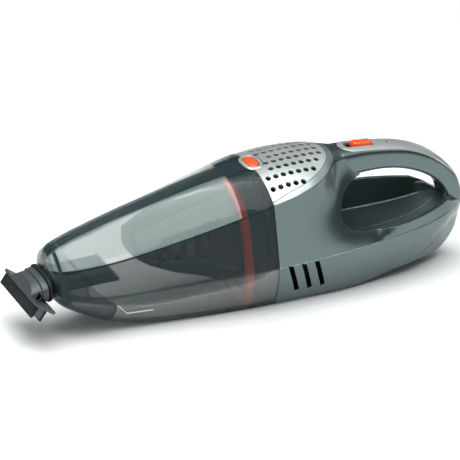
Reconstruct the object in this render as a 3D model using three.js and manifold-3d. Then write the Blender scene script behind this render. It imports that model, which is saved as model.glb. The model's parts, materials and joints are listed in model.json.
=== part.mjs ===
// Cordless handheld vacuum: clear dust container in front, motor housing with a bridge handle behind.
// Millimetres, +Z up. The nozzle points to -X, the handle's tail to +X; Z = 0 is the table it rests on.
import * as THREE from "three";
import { mergeVertices } from "three/addons/utils/BufferGeometryUtils.js";
import Module from "manifold-3d";

const wasm = await Module();
wasm.setup();

// ---------------------------------------------------------------- driving dimensions
const WALL = 2.4; // moulded housing wall
const CLEAR_WALL = 2.2; // container wall
const GAP = 0.3; // running gap between neighbouring pieces
const NOSE_X = -181; // front of the clear nose
const JOINT_X = 16.3; // container joint plane: x = JOINT_X - JOINT_SLOPE * z
const JOINT_SLOPE = 0.1;
const RIM_TIP = 78.5; // rear tip of the grille's rim
const MOTOR_Z = 71;
const MOTOR_R = 18;
const CELL_R = 10.8; // battery cell
const CELL_LENGTH = 42;
const CELL_Z = 23.6;
const LIP_HALF = 35.9; // half the squeegee's width

// Container half-section along X:
// x, top facet edge (y, z), upper crease (y, z), lower crease (y, z), belly edge (y, z), fullness
const CONTAINER = [
  [-181, 4.5, 66, 13, 60, 16, 49, 10, 42, 1.1],
  [-179.5, 6.2, 71, 19, 61.5, 22, 46, 15, 37, 1.1],
  [-175, 7, 76, 24.5, 62.8, 27, 41.5, 18, 31.5, 1.15],
  [-167, 7.2, 79.5, 28.3, 63.8, 31, 38, 20.5, 26, 1.2],
  [-157, 7.3, 83.3, 30.6, 64.6, 33, 36.2, 21.5, 20.5, 1.2],
  [-145, 7.5, 87, 32.4, 65.7, 34.5, 35.4, 22.5, 14.5, 1.25],
  [-130, 7.7, 91.5, 34.2, 67.4, 36, 35.2, 24, 9, 1.3],
  [-110, 8, 97, 36.6, 71, 38.3, 36.3, 25.7, 4.6, 1.35],
  [-90, 8.2, 101.8, 39, 75.2, 40.6, 37, 27.3, 2.2, 1.45],
  [-60, 8.7, 109, 43, 82.4, 44.4, 38, 29.5, 0.8, 1.7],
  [-30, 9.3, 115.2, 46.7, 90.2, 47.6, 39.2, 31.5, 0, 2.1],
  [5, 10, 120.2, 50.4, 99.5, 50.5, 40.6, 33, 0, 2.6],
  [24, 10, 122, 50.4, 103, 50.5, 41.3, 33, 0, 2.6],
];

// Housing upper half-section along X: x, shoulder (y, z), crown z
const SHOULDER = [
  [-8, 50.4, 98.8, 119.8],
  [5, 50.4, 100, 120.8],
  [22, 50, 103.6, 122.4],
  [41, 46, 107.7, 123.4],
  [56.5, 39.5, 111.3, 123.7],
  [67.7, 30.5, 115.2, 123.2],
  [76, 22.5, 115.8, 122.4],
  [84, 17.5, 115.5, 121.2],
  [92, 15, 114.2, 119.6],
  [98, 14, 109, 114],
  [103, 13.5, 100, 105],
  [106, 13.5, 92, 96],
  [112, 26, 80, 84],
  [120, 40, 72, 74],
  [130, 42.8, 69, 70],
  [150, 38.6, 68, 69],
  [170, 31, 67, 68],
  [184, 24.5, 62.6, 63.2],
  [190, 21, 59.5, 60.3],
  [200, 12.5, 55.5, 56.5],
  [207.1, 4.5, 51, 52],
];

// Housing lower half-section along X: x, belt crease (y, z), keel crease (y, z), belly edge (y, z)
const HULL = [
  [-8, 50.5, 40.2, 33.5, 0.7, 31, 0],
  [30, 50.5, 41.7, 33.5, 0.7, 31, 0],
  [60, 50, 43.3, 33.2, 0.7, 30.6, 0],
  [78, 49.5, 44.6, 32.6, 0.9, 30, 0],
  [100, 48.2, 46.3, 31.4, 3.6, 28.8, 2.8],
  [125, 45.2, 47.9, 29.8, 8, 27, 7],
  [150, 39.8, 48.9, 28, 12.8, 23, 8.5],
  [165, 35, 49.8, 26.6, 22, 18.5, 9],
  [181, 28.5, 51.6, 21.8, 33, 14, 11.5],
  [192, 21.5, 52.4, 15.5, 38.3, 10.5, 18],
  [202, 12.5, 51.3, 9, 41.5, 6.5, 28.5],
  [207.1, 4.5, 49.3, 3.4, 45.2, 2.4, 38],
];

// Bridge handle: centre line (x, z), half width, half thickness
const HANDLE = [
  [72, 105, 16.5, 12.5],
  [84, 107.2, 16.2, 12.6],
  [97, 108, 15.3, 11.8],
  [113, 107.9, 14.2, 10.9],
  [131, 106.6, 13.9, 10.1],
  [148, 103.4, 13.7, 10],
  [163, 98, 13.4, 9.9],
  [177, 90, 13, 9.6],
  [188, 80, 12.3, 9.1],
  [195, 69.5, 11.6, 8.9],
  [198.2, 58.5, 10.6, 9],
  [198.6, 48.5, 9.4, 8.6],
];

// Share of the flare's spread by which its waist is drawn in
const FLARE_WAIST = 0.2;

// Finger hole outline, looking along Y
const HOLE = [
  [84.5, 60.4], [78, 65.4], [75.2, 72.8], [77.2, 80], [81.8, 87], [88, 92.2], [98, 95.8], [112, 97.3],
  [131, 96.9], [148, 93.6], [165, 87], [178, 78.5], [185.5, 70.5], [188.3, 64.6], [184, 62.8],
  [167, 60.3], [140, 58], [112, 56.6], [97, 57.4],
];

// Hand scoop under the handle: x, half width, floor z, top z
const SCOOP = [
  [82, 22, 58, 82], [85, 32, 48, 82], [92, 39, 41.5, 82], [104, 41, 39.2, 82], [112, 40.4, 39, 82],
    [120, 40.8, 39, 82],
  [145, 36.5, 41.5, 82], [165, 30, 46, 80], [178, 23, 51.5, 72.5], [185, 15, 57, 66], [187, 9, 60, 64.5],
];
const FAR_RIM = 66.5; // the scoop's rim is higher on the far side than on the near one

// Slanted nose seam, looking along Y, closed in front of the nose
const NOSE_SEAM = [
  [-173.6, 95], [-172.5, 82], [-163, 66.5], [-152.3, 51.5], [-141.2, 39.8], [-132.5, 31.2], [-129.6, 25.5],
  [-130.6, 17], [-134.4, 9.5], [-141, 0], [-141, -8], [-215, -8], [-215, 95],
];

// ---------------------------------------------------------------- colours
const plastic = (color, roughness, metalness = 0) => new THREE.MeshStandardMaterial({
  color, roughness, metalness,
});
const GUNMETAL = plastic(0x4d5253, 0.35, 0.5);
const SMOKE = new THREE.MeshStandardMaterial({
  color: 0x6f7a7a, roughness: 0.08, metalness: 0, transparent: true, opacity: 0.45,
});
const SILVER = plastic(0xc9cccb, 0.35, 0.7);
const ORANGE = plastic(0xff5a1f, 0.4);
const SEAL_ORANGE = plastic(0xe8602c, 0.6);
const BLACK_RUBBER = plastic(0x151616, 0.75);
const DARK = plastic(0x2a2d2e, 0.5);
const GREY = plastic(0x777d7e, 0.5);
const CLOTH = plastic(0xd8d8d0, 0.95);
const STEEL = plastic(0xb8bcbe, 0.3, 1);
const BRASS = plastic(0xc9a24a, 0.35, 1);
const CELL_WRAP = plastic(0x2f7a4a, 0.4);
const BOARD = plastic(0x1f5a36, 0.6);
const DARK_RED = plastic(0x5a1410, 0.6);
const LAMP_RED = plastic(0xb03020, 0.3);

// ---------------------------------------------------------------- helpers
// Reads a table of rows [x, a, b, ...] at x, smoothly and without overshoot.
function tableAt(table, x) {
  const last = table.length - 1;
  const at = Math.min(Math.max(x, table[0][0]), table[last][0]);
  let i = 0;
  while (i < last - 1 && at > table[i + 1][0]) i += 1;
  const step = (k) => table[k + 1][0] - table[k][0];
  const t = (at - table[i][0]) / step(i);
  const rise = (k, c) => (table[k + 1][c] - table[k][c]) / step(k);
  const slope = (k, c) => {
    if (k === 0) return rise(0, c);
    if (k === last) return rise(last - 1, c);
    const [before, after] = [rise(k - 1, c), rise(k, c)];
    return before * after <= 0 ? 0 : (2 * before * after) / (before + after);
  };
  const blend = (c) => {
    const h = step(i);
    const [a, b] = [table[i][c], table[i + 1][c]];
    const [m, n] = [slope(i, c) * h, slope(i + 1, c) * h];
    const t2 = t * t;
    const t3 = t2 * t;
    return (2 * t3 - 3 * t2 + 1) * a + (t3 - 2 * t2 + t) * m + (3 * t2 - 2 * t3) * b + (t3 - t2) * n;
  };
  return table[0].slice(1).map((_, k) => blend(k + 1));
}

const mix = (a, b, t) => a + (b - a) * t;

// A clockwise outline moved inwards
const moved = (outline, inset) => outline.map((p, i) => {
  const a = outline[(i + outline.length - 1) % outline.length];
  const b = outline[(i + 1) % outline.length];
  const [dx, dz] = [b[0] - a[0], b[1] - a[1]];
  const long = Math.hypot(dx, dz);
  return [p[0] + (dz / long) * inset, p[1] - (dx / long) * inset];
});

// Half-section (y, z) from top centre to bottom centre, made whole and moved inwards
function wholeRing(half, inset) {
  const farSide = half.slice(1, -1).map(([y, z]) => [-y, z]).reverse();
  const ring = [...half, ...farSide];
  return inset === 0 ? ring : moved(ring, inset);
}

// Closed body through rings of equal length, each end closed by a fan.
function loft(rings) {
  const count = rings[0].length;
  const points = rings.flat();
  const total = (ring) => ring.reduce((sum, p) => sum.add(p), new THREE.Vector3());
  const middle = (ring) => total(ring).divideScalar(count);
  points.push(middle(rings[0]), middle(rings[rings.length - 1]));
  const [first, last] = [points.length - 2, points.length - 1];
  const tail = (rings.length - 1) * count;
  const index = [];
  for (let r = 0; r < rings.length - 1; r += 1) {
    for (let k = 0; k < count; k += 1) {
      const [a, b] = [r * count + k, r * count + ((k + 1) % count)];
      index.push(a, b, a + count, b, b + count, a + count);
    }
  }
  for (let k = 0; k < count; k += 1) {
    const next = (k + 1) % count;
    index.push(first, next, k, last, tail + k, tail + next);
  }
  const geometry = new THREE.BufferGeometry().setFromPoints(points);
  geometry.setIndex(index);
  return solid(geometry);
}

// three.js geometry -> manifold solid, faces pointing out
function solid(source) {
  const bare = source.clone();
  bare.deleteAttribute("normal");
  bare.deleteAttribute("uv");
  const merged = mergeVertices(bare, 1e-4);
  const vertProperties = new Float32Array(merged.attributes.position.array);
  const corners = Array.from(merged.index.array);
  const triVerts = [];
  for (let i = 0; i < corners.length; i += 3) {
    const [a, b, c] = corners.slice(i, i + 3);
    if (a !== b && b !== c && a !== c) triVerts.push(a, b, c);
  }
  const build = (triangles) => new wasm.Manifold(
    new wasm.Mesh({ numProp: 3, vertProperties, triVerts: new Uint32Array(triangles) }),
  );
  const body = build(triVerts);
  return body.volume() > 0 ? body : build(triVerts.reverse());
}

const placed = (geometry, x, y, z) => solid(geometry.translate(x, y, z));
const block = (x0, x1, y0, y1, z0, z1) => placed(
  new THREE.BoxGeometry(x1 - x0, y1 - y0, z1 - z0), (x0 + x1) / 2, (y0 + y1) / 2, (z0 + z1) / 2,
);

// Round bar or cone between two points
function rod(from, to, radius, endRadius = radius, sides = 20) {
  const [a, b] = [new THREE.Vector3(...from), new THREE.Vector3(...to)];
  const direction = b.clone().sub(a);
  const geometry = new THREE.CylinderGeometry(endRadius, radius, direction.length(), sides);
  const turn = new THREE.Quaternion().setFromUnitVectors(new THREE.Vector3(0, 1, 0), direction.normalize());
  geometry.applyQuaternion(turn);
  return placed(geometry, ...a.add(b).divideScalar(2));
}

const shapeOf = (points) => new THREE.Shape(points.map(([a, b]) => new THREE.Vector2(a, b)));
const extruded = (shape, depth) => new THREE.ExtrudeGeometry(shape, {
  depth, bevelEnabled: false, curveSegments: 10, steps: 1,
});
const prismZ = (points, z0, z1) => placed(extruded(shapeOf(points), z1 - z0), 0, 0, z0);
const prismY = (points, y0, y1) => placed(extruded(shapeOf(points), y1 - y0).rotateX(Math.PI / 2), 0, y1, 0);
const smooth = (points, count) => new THREE.CatmullRomCurve3(
  points.map(([a, b]) => new THREE.Vector3(a, b, 0)), true, "centripetal",
).getPoints(count).slice(0, -1).map((p) => [p.x, p.y]);

// Points round a superellipse: half sizes a and b, squareness n
const oval = (a, b, n, count) => Array.from({ length: count }, (_, k) => {
  const angle = (2 * Math.PI * k) / count;
  const [c, s] = [Math.cos(angle), Math.sin(angle)];
  return [a * Math.sign(c) * Math.abs(c) ** (2 / n), b * Math.sign(s) * Math.abs(s) ** (2 / n)];
});

const join = (bodies) => bodies.reduce((all, body) => all.add(body));
const cut = (body, tools) => tools.reduce((left, tool) => left.subtract(tool), body);
const range = (from, to, steps) => Array.from({ length: steps + 1 }, (_, k) => mix(from, to, k / steps));

// Everything behind the joint plane, moved along X by offset; and the slice between two such planes
const behindJoint = (offset) => prismY([
  [JOINT_X + offset + 20 * JOINT_SLOPE, -20], [400, -20],
  [400, 200], [JOINT_X + offset - 200 * JOINT_SLOPE, 200],
], -90, 90);
const slice = (front, back) => behindJoint(front).subtract(behindJoint(back));

const group = new THREE.Group();
group.name = "handheld_vacuum";
function piece(name, body, material) {
  const { vertProperties, triVerts } = body.getMesh();
  const geometry = new THREE.BufferGeometry();
  geometry.setAttribute("position", new THREE.BufferAttribute(new Float32Array(vertProperties), 3));
  geometry.setIndex(new THREE.BufferAttribute(new Uint32Array(triVerts), 1));
  const part = new THREE.Mesh(geometry, material);
  part.name = name;
  group.add(part);
}

// ---------------------------------------------------------------- outer form
const sectionAt = (x, half, inset) => wholeRing(half, inset).map(([y, z]) => new THREE.Vector3(x, y, z));

// Points from one corner to the next, bowed outwards by bow in the middle
function facet([y0, z0], [y1, z1], bow, count) {
  const long = Math.hypot(y1 - y0, z1 - z0);
  return range(0, 1, count).slice(1).map((t) => {
    const out = (4 * t * (1 - t) * bow) / long;
    return [mix(y0, y1, t) - (z1 - z0) * out, mix(z0, z1, t) + (y1 - y0) * out];
  });
}

function containerHalf(x) {
  const [yt, zt, yu, zu, yl, zl, yb, zb, fullness] = tableAt(CONTAINER, x);
  const upper = range(0, 1, 4).slice(1).map((f) => [mix(yt, yu, f), zt - (zt - zu) * f ** fullness]);
  const side = facet([yu, zu], [yl, zl], 0.8, 2);
  return [[0, zt + 0.3], [yt, zt], ...upper, ...side, ...facet([yl, zl], [yb, zb], 2, 2), [0, zb]];
}
const CONTAINER_AT = [-180, -178.5, -176, -171, -163, -150, -132, -105, -70, -35, -8, 24];
function containerForm(inset) {
  const front = NOSE_X + (inset === 0 ? 0 : inset + 0.6);
  const list = [front, ...CONTAINER_AT.filter((x) => x > front + 0.5)];
  return loft(list.map((x) => sectionAt(x, containerHalf(x), inset)));
}

// Height of the housing's top skin
function topZ(x, y) {
  const [shoulderY, shoulderZ, crown] = tableAt(SHOULDER, x);
  return crown - (crown - shoulderZ) * Math.abs(y / shoulderY) ** 3;
}

function housingHalf(x) {
  const [ys, zs, crown] = tableAt(SHOULDER, x);
  const [yl, zl, yk, zk, yb, zb] = tableAt(HULL, x);
  const dome = [0.38, 0.64, 0.84, 1].map((f) => [f * ys, topZ(x, f * ys)]);
  const drop = zs - zl;
  const waist = yl - FLARE_WAIST * (yl - ys);
  const controls = [[ys, zs], [ys + 1, zs - 0.47 * drop], [waist, zl + 0.45 * drop], [yl, zl]];
  const flare = range(0, 1, 4).slice(1).map((t) => {
    const u = 1 - t;
    const weights = [u ** 3, 3 * t * u * u, 3 * t * t * u, t ** 3];
    return [0, 1].map((c) => weights.reduce((sum, w, k) => sum + w * controls[k][c], 0));
  });
  return [[0, crown], ...dome, ...flare, ...facet([yl, zl], [yk, zk], 1.6, 2), [yb, zb], [0, zb]];
}
const HOUSING_AT = [
  -8, 22, 42, 57, 68, 77, 86, 95, 101, 106, 112, 121, 140, 160, 175, 185, 193, 200, 207.1,
];
const INNER_END = 201;
function housingForm(inset) {
  const list = HOUSING_AT.filter((x) => inset === 0 || x < INNER_END);
  return loft(list.map((x) => sectionAt(x, housingHalf(x), inset)));
}

// Handle: rings square to its centre line
const handleCurve = new THREE.CatmullRomCurve3(HANDLE.map(([x, z]) => new THREE.Vector3(x, 0, z)));
const HANDLE_SIZES = HANDLE.map(([, , half, thick], k) => [k, half, thick]);
const TOP_SQUARE = 4;
const UNDER_SQUARE = 5;
function handleFrame(t) {
  const tangent = handleCurve.getTangent(t);
  const [half, thick] = tableAt(HANDLE_SIZES, t * (HANDLE.length - 1));
  return { centre: handleCurve.getPoint(t), out: new THREE.Vector3(-tangent.z, 0, tangent.x), half, thick };
}
const onFrame = ({ centre, out }, [y, up]) => centre.clone().addScaledVector(out, up).setY(y);
function handleForm(inset, from, to, steps) {
  return loft(range(from, to, steps).map((t) => {
    const frame = handleFrame(t);
    const [a, b] = [frame.half - inset, frame.thick - inset];
    const under = oval(a, b, UNDER_SQUARE, 16);
    return oval(a, b, TOP_SQUARE, 16).map((p, k) => onFrame(frame, k <= 8 ? p : under[k]));
  }));
}

// Finger hole and scoop, grown by the wall to shape the inside of the shells
const FAR_RIM_Y = 24;
const holeForm = (wall) => prismY(moved(smooth(HOLE, 26), -wall), -70, 70)
  .subtract(block(60, 200, FAR_RIM_Y, 80, 0, FAR_RIM - wall));
function scoopForm(wall) {
  const [first, last] = [SCOOP[0][0], SCOOP[SCOOP.length - 1][0]];
  return loft(range(first, last, 9).map((x) => {
    const [half, floor, top] = tableAt(SCOOP, x);
    const [w, f] = [half + wall, floor - wall];
    const at = x === first ? x - wall : x;
    return sectionAt(at, [[0, top], [w, top], [w, f + 4], [w - 0.8, f + 1.4], [0.9 * w, f], [0, f]], 0);
  }));
}
const HANDLE_WALL = 3.6;
const outerForm = cut(housingForm(0).add(handleForm(0, 0, 1, 12)), [holeForm(0), scoopForm(0)]);
const innerForm = cut(
  housingForm(WALL).add(handleForm(HANDLE_WALL, 0.02, 0.9, 7)), [holeForm(WALL), scoopForm(WALL)],
);
const topSkin = (depth) => housingForm(0).subtract(housingForm(depth));

// ---------------------------------------------------------------- top trim: grille, rim, release button
const RIM_EDGE = [ // half width along X
  [-8, 50.2], [22, 49.8], [41, 45.9], [56.5, 39.2], [67.7, 30], [75.6, 18.5], [77.8, 9], [RIM_TIP, 1],
];
const GRILLE_EDGE = [
  [-8, 48.2], [4.5, 48.2], [19.8, 46.2], [38.4, 42], [52.4, 35.5], [63.7, 26.5],
  [70.9, 15], [73, 7], [73.8, 1],
];
// Space above the top skin inside an edge; its side walls stand square to the skin
function trimSpace(edge, grow) {
  const [start, tip] = [edge[0][0], edge[edge.length - 1][0]];
  const list = [...range(start, tip - 12, 7), ...range(tip - 8, tip, 3)];
  return loft(list.map((x) => {
    const y = tableAt(edge, x)[0] + grow;
    const z = topZ(x, y);
    const fall = (topZ(x, y - 0.2) - z) / 0.2;
    const long = Math.hypot(fall, 1);
    const edgePoint = (d) => [Math.max(y + (d * fall) / long, 0.4), z + d / long];
    const [inner, outer] = [edgePoint(-8), edgePoint(6)];
    const half = [[0, 150], [outer[0], 150], outer, inner, [0, inner[1] - 0.5]];
    return sectionAt(x === tip ? x + grow : x, half, 0);
  }));
}
const BUTTON = { x: 7.6, halfX: 4.9, halfY: 10.9, top: 121.9 };
const BEZEL_WIDE = 3.6;
const aroundButton = (grow, z0, z1) => prismZ(
  oval(BUTTON.halfX + grow, BUTTON.halfY + grow, 2.8, 28).map(([x, y]) => [x + BUTTON.x, y]), z0, z1,
);
const crowned = (top, radius) => placed(new THREE.SphereGeometry(radius, 48, 32), BUTTON.x, 0, top - radius);
const bezelSpace = aroundButton(BEZEL_WIDE + GAP, 90, 140);

const VENT = { x: 10.2, pitchX: 7, pitchY: 9.9, r: 2.4 };
const VENT_ROWS = [[0, 1, 8], [1, 1, 8], [2, 1, 7], [3, 0, 6], [4, 0, 4]]; // row, first and last column
const ventHoles = VENT_ROWS.flatMap(([row, first, last]) => {
  const sides = row === 0 ? [1] : [1, -1];
  return sides.flatMap((side) => range(first, last, last - first).map((column) => {
    const [x, y] = [VENT.x + VENT.pitchX * column, side * VENT.pitchY * row];
    const z = topZ(x, y);
    return rod([x, y * 0.94, z - 8], [x, y * 1.05, z + 4], VENT.r, VENT.r, 6);
  }));
});
const grilleSpace = trimSpace(GRILLE_EDGE, -GAP / 2).intersect(behindJoint(GAP));
const rimSpace = trimSpace(RIM_EDGE, -GAP / 2)
  .intersect(behindJoint(GAP))
  .subtract(trimSpace(GRILLE_EDGE, GAP / 2));
piece("vent_grille", cut(topSkin(2).intersect(grilleSpace), [bezelSpace, ...ventHoles]), SILVER);
piece("grille_rim", topSkin(2).intersect(rimSpace), SILVER);
piece("button_bezel", cut(
  aroundButton(BEZEL_WIDE, 114, 124).intersect(crowned(BUTTON.top - 0.6, 60)), [aroundButton(GAP, 100, 140)],
), SILVER);
piece("release_button", aroundButton(0, 112.5, 124).intersect(crowned(BUTTON.top, 50)), ORANGE);
piece("release_latch", block(-3, 12, -6, 6, 109.8, 112.2).add(block(-3, -1, -6, 6, 107.6, 110)), DARK);
piece("button_spring", block(0.5, 14, -3, 3, 105, 105.6).add(block(12.5, 14, -3, 3, 102, 105.3)), STEEL);

// ---------------------------------------------------------------- handle strip, switch, charge light
const STRIP = { from: 0.135, to: 0.83, half: 12, proud: 0.5, deep: 1.7, nose: 0.075 };
function stripHalf(t) {
  const nose = Math.min(1, (t - STRIP.from) / STRIP.nose);
  const rear = Math.max(0, (t - 0.62) / (STRIP.to - 0.62));
  return STRIP.half * Math.sqrt(Math.max(0.02, nose * (2 - nose))) * (1 - 0.42 * rear * rear);
}
function stripForm(grow, proud, deep) {
  const list = [...range(STRIP.from, STRIP.from + STRIP.nose, 4), ...range(STRIP.from + 0.11, STRIP.to, 9)];
  return loft(list.map((t) => {
    const frame = handleFrame(t);
    const w = stripHalf(t) + grow;
    const skin = (y) => frame.thick * (1 - Math.abs(y / frame.half) ** TOP_SQUARE) ** (1 / TOP_SQUARE);
    const across = [-1, -0.6, 0, 0.6, 1].map((f) => f * w);
    const over = across.map((y) => [y, skin(y) + proud]);
    const under = across.reverse().map((y) => [y, skin(y) - deep]);
    return [...over, ...under].map((p) => onFrame(frame, p));
  }));
}
const SWITCH = { from: 101.5, to: 121.3, half: 5.3, slope: 0.075, top: 122.6 };
const switchSpace = prismZ(oval(13.2, SWITCH.half + GAP, 5, 28).map(([x, y]) => [x + 108.4, y]), 112, 130);
const LIGHT_X = 136.5;
const lightSpace = rod([LIGHT_X, 0, 105], [LIGHT_X, 0, 130], 1.5, 1.5, 12);
piece("handle_strip", cut(stripForm(0, STRIP.proud, STRIP.deep), [switchSpace, lightSpace]), SILVER);
const knobZ = (x) => SWITCH.top - (x - 106) * SWITCH.slope;
const knobOutline = oval(9.9, SWITCH.half, 5, 24).map(([x, y]) => [x + 111.4, y]);
piece("power_switch", prismY([
  [101.5, 117.6], [103, knobZ(103) - 0.4], [105.5, knobZ(105.5)], [111, knobZ(111) - 0.7],
  [117.5, knobZ(117.5)], [120.7, knobZ(120.7) - 0.9], [121.3, 116.3],
], -20, 20).intersect(prismZ(knobOutline, 100, 130)), ORANGE);
piece("switch_plate", prismY([[90, 115.2], [90, 116.8], [125, 114.2], [125, 112.8]], -20, 20)
  .intersect(prismZ(oval(12.8, 5.2, 5, 24).map(([x, y]) => [x + 108.4, y]), 100, 130)), DARK_RED);
piece("charge_light", rod([LIGHT_X, 0, 108.5], [LIGHT_X, 0, 115.9], 1.2, 1.2, 12), LAMP_RED);

// ---------------------------------------------------------------- housing shells
const SCREWS = [[25, 12], [58, 100], [134, 26], [171, 37], [84, 103.5], [176, 89.5]];
const bosses = SCREWS.map(([x, z]) => rod([x, -60, z], [x, 60, z], 3.6, 3.6, 8).intersect(outerForm));
const sideSlots = [22.5, 34.8, 47.1].map((x) => prismY(
  [[x - 2.5, 42], [x + 2.3, 41.2], [x + 12.6, 13.4], [x + 8.4, 12.4]], -60, 60,
));
const contactSpaces = [-9, 9].map((y) => block(96, 108, y - 2.3, y + 2.3, -5, 9));
const pilots = SCREWS.map(([x, z]) => rod([x, -13, z], [x, 13, z], 1.7, 1.7, 8));
const wells = SCREWS.map(([x, z]) => rod([x, 8, z], [x, 60, z], 3.1, 3.1, 8));
const shell = cut(join([outerForm.subtract(innerForm), ...bosses]), [
  trimSpace(RIM_EDGE, GAP / 2), bezelSpace, stripForm(GAP, 4, STRIP.deep + GAP), switchSpace, lightSpace,
  ...sideSlots, ...contactSpaces, ...pilots, ...wells,
]).intersect(behindJoint(GAP / 2));
piece("housing_left", shell.intersect(block(-20, 230, -90, -GAP / 2, -20, 160)), GUNMETAL);
piece("housing_right", shell.intersect(block(-20, 230, GAP / 2, 90, -20, 160)), GUNMETAL);
SCREWS.forEach(([x, z], k) => {
  const screwHead = rod([x, 8.3, z], [x, 10.5, z], 2.7, 2.7, 10);
  piece(`housing_screw_${k + 1}`, screwHead.add(rod([x, -12, z], [x, 8.4, z], 1.3, 1.3, 8)), STEEL);
});

// ---------------------------------------------------------------- container, nose, intake duct, flap
const DUCT = { front: -181.4, half: 17.4, high: 9.4, wall: 1.7 };
const ductZ = (x) => 45.8 + 0.028 * (x - DUCT.front);
const ovalBar = (x0, x1, a, b, z0, z1 = z0, n = 2.6, count = 20) => loft([[x0, z0], [x1, z1]].map(
  ([x, z]) => oval(a, b, n, count).map(([y, up]) => new THREE.Vector3(x, y, z + up)),
));
const ductBar = (x0, x1, inset) => ovalBar(
  x0, x1, DUCT.half - inset, DUCT.high - inset, ductZ(x0), ductZ(x1),
);
const mouth = ductBar(-200, -160, -GAP);
const clearShell = cut(containerForm(0), [containerForm(CLEAR_WALL), behindJoint(-GAP / 2), mouth]);
const noseSpace = prismY(NOSE_SEAM, -80, 80);
piece("container_nose", clearShell.intersect(noseSpace), SMOKE);
piece("dust_container", cut(clearShell, [
  noseSpace, noseSpace.translate([GAP, 0, 0]), aroundButton(BEZEL_WIDE + 0.6, 100, 140),
]), SMOKE);
const FLAP = { top: [-132, 58.5], bottom: [-116.5, 37.5] };
const ductEnd = prismY([[-133, 70], FLAP.top, FLAP.bottom, [-116, 30], [-60, 30], [-60, 70]], -40, 40);
piece("intake_duct", cut(ductBar(DUCT.front, -110, 0), [ductBar(-190, -100, DUCT.wall), ductEnd]), DARK);
const flapTop = new THREE.Vector2(...FLAP.top);
const flapAlong = new THREE.Vector2(...FLAP.bottom).sub(flapTop).normalize();
const flapPoint = (along, out) => [
  flapTop.x + flapAlong.x * along - flapAlong.y * out,
  flapTop.y + flapAlong.y * along + flapAlong.x * out,
];
const flapRing = (out) => oval(12.4, 16.8, 2.6, 28).map(([along, y]) => {
  const [x, z] = flapPoint(along + 12.6, out);
  return new THREE.Vector3(x, y, z);
});
piece("duct_flap", loft([flapRing(GAP), flapRing(GAP + 1.2)]), GREY);

// ---------------------------------------------------------------- squeegee nozzle
const NECK_SLOPE = 0.148;
const neckZ = (x) => 45 + NECK_SLOPE * (x + 182);
const neckBar = (x0, x1, a, b, n = 2.8) => ovalBar(x0, x1, a, b, neckZ(x0), neckZ(x1), n);
const SPIGOT_WALL = 1.6;
const spigotBar = (x0, x1, inset) => ductBar(x0, x1, DUCT.wall + 0.4 + inset);
piece("mouth_seal", neckBar(-184.6, -181.8, 24.2, 11.6).subtract(spigotBar(-187, -178, -GAP)), BLACK_RUBBER);
// Head coordinates: w along the plate from its upper end, u out towards the floor
const HEAD = { x: -201.05, z: 42.6, ux: -0.578, uz: -0.816 };
const headPoint = (w, u) => [HEAD.x - HEAD.uz * w + HEAD.ux * u, HEAD.z + HEAD.ux * w + HEAD.uz * u];
const headBlock = (w0, w1, u0, u1, half) => prismY(
  [headPoint(w0, u0), headPoint(w0, u1), headPoint(w1, u1), headPoint(w1, u0)], -half, half,
);
const PLATE = { from: -1.6, to: 18.2, thick: 2.5 };
const behindPlate = (gap) => headBlock(PLATE.from, 60, -60, -PLATE.thick - gap, 60);
piece("nozzle_collar", neckBar(-190.4, -184.9, 23.4, 9.9).add(spigotBar(-188, -162, 0))
  .intersect(behindPlate(GAP)).subtract(spigotBar(-200, -150, SPIGOT_WALL)), DARK);
const neckOuter = neckBar(-212, -190.7, 22, 8.7).intersect(headBlock(PLATE.from, 60, -60, -1, 60));
const neckInner = neckBar(-212, -189, 19.8, 6.5)
  .intersect(behindPlate(0))
  .intersect(headBlock(0.8, 60, -60, 0, 60));
piece("nozzle_body", cut(join([
  neckOuter,
  headBlock(PLATE.from, PLATE.to, -PLATE.thick, 0, 37),
  headBlock(2.5, 8.9, -0.5, 8.4, LIP_HALF),
]), [neckInner, headBlock(3.6, 7.9, -9, 12, 31)]), DARK);
piece("squeegee_front", headBlock(0, 2.2, GAP, 10.5, LIP_HALF), BLACK_RUBBER);
piece("squeegee_rear", headBlock(9.2, 11, GAP, 10.2, LIP_HALF), BLACK_RUBBER);

// ---------------------------------------------------------------- filter in the container
const CAGE = [ // x, half width, underside z, top z
  [-106, 12, 60, 74], [-104, 18, 57, 79], [-92, 24, 49, 84], [-70, 28.5, 39.5, 92], [-44, 33, 32, 101],
  [-26, 37, 24, 106], [-6, 38, 22, 106],
];
const cageForm = (inset) => loft(CAGE.map(([x, half, low, high], k) => {
  const at = k === 0 ? x + inset : x;
  const ring = oval(half - inset, (high - low) / 2 - inset, 3, 20);
  return ring.map(([y, up]) => new THREE.Vector3(at, y, (low + high) / 2 + up));
}));
const insideForm = (inset, front, back) => containerForm(inset).intersect(slice(front, back));
piece("seal_ring", insideForm(3, -28, -22).subtract(containerForm(8.5)), SEAL_ORANGE);
piece("filter_frame", insideForm(3.4, -21.7, -9).subtract(cageForm(-GAP)), DARK);
const cageSlots = [-88, -76, -64, -52].flatMap((x) => [
  block(x, x + 7, -60, -20, 56, 78), block(x, x + 7, 20, 60, 56, 78),
]);
piece("filter_cage", cut(cageForm(0), [cageForm(1.6), behindJoint(-12), ...cageSlots]), DARK);
const PLEATS = { front: -76, back: -20, z: 67 };
const pleatRing = (x, halfY, halfZ) => range(0, 47, 47).map((k) => {
  const deep = k % 2 === 0 ? 1 : 0.74;
  const angle = (2 * Math.PI * k) / 48;
  return new THREE.Vector3(x, deep * halfY * Math.cos(angle), PLEATS.z + deep * halfZ * Math.sin(angle));
});
piece("filter_pleats", cut(
  loft([pleatRing(PLEATS.front, 20, 18), pleatRing(PLEATS.back, 28, 28)]), [ovalBar(-70, 0, 9, 9, PLEATS.z)],
), CLOTH);

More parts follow.
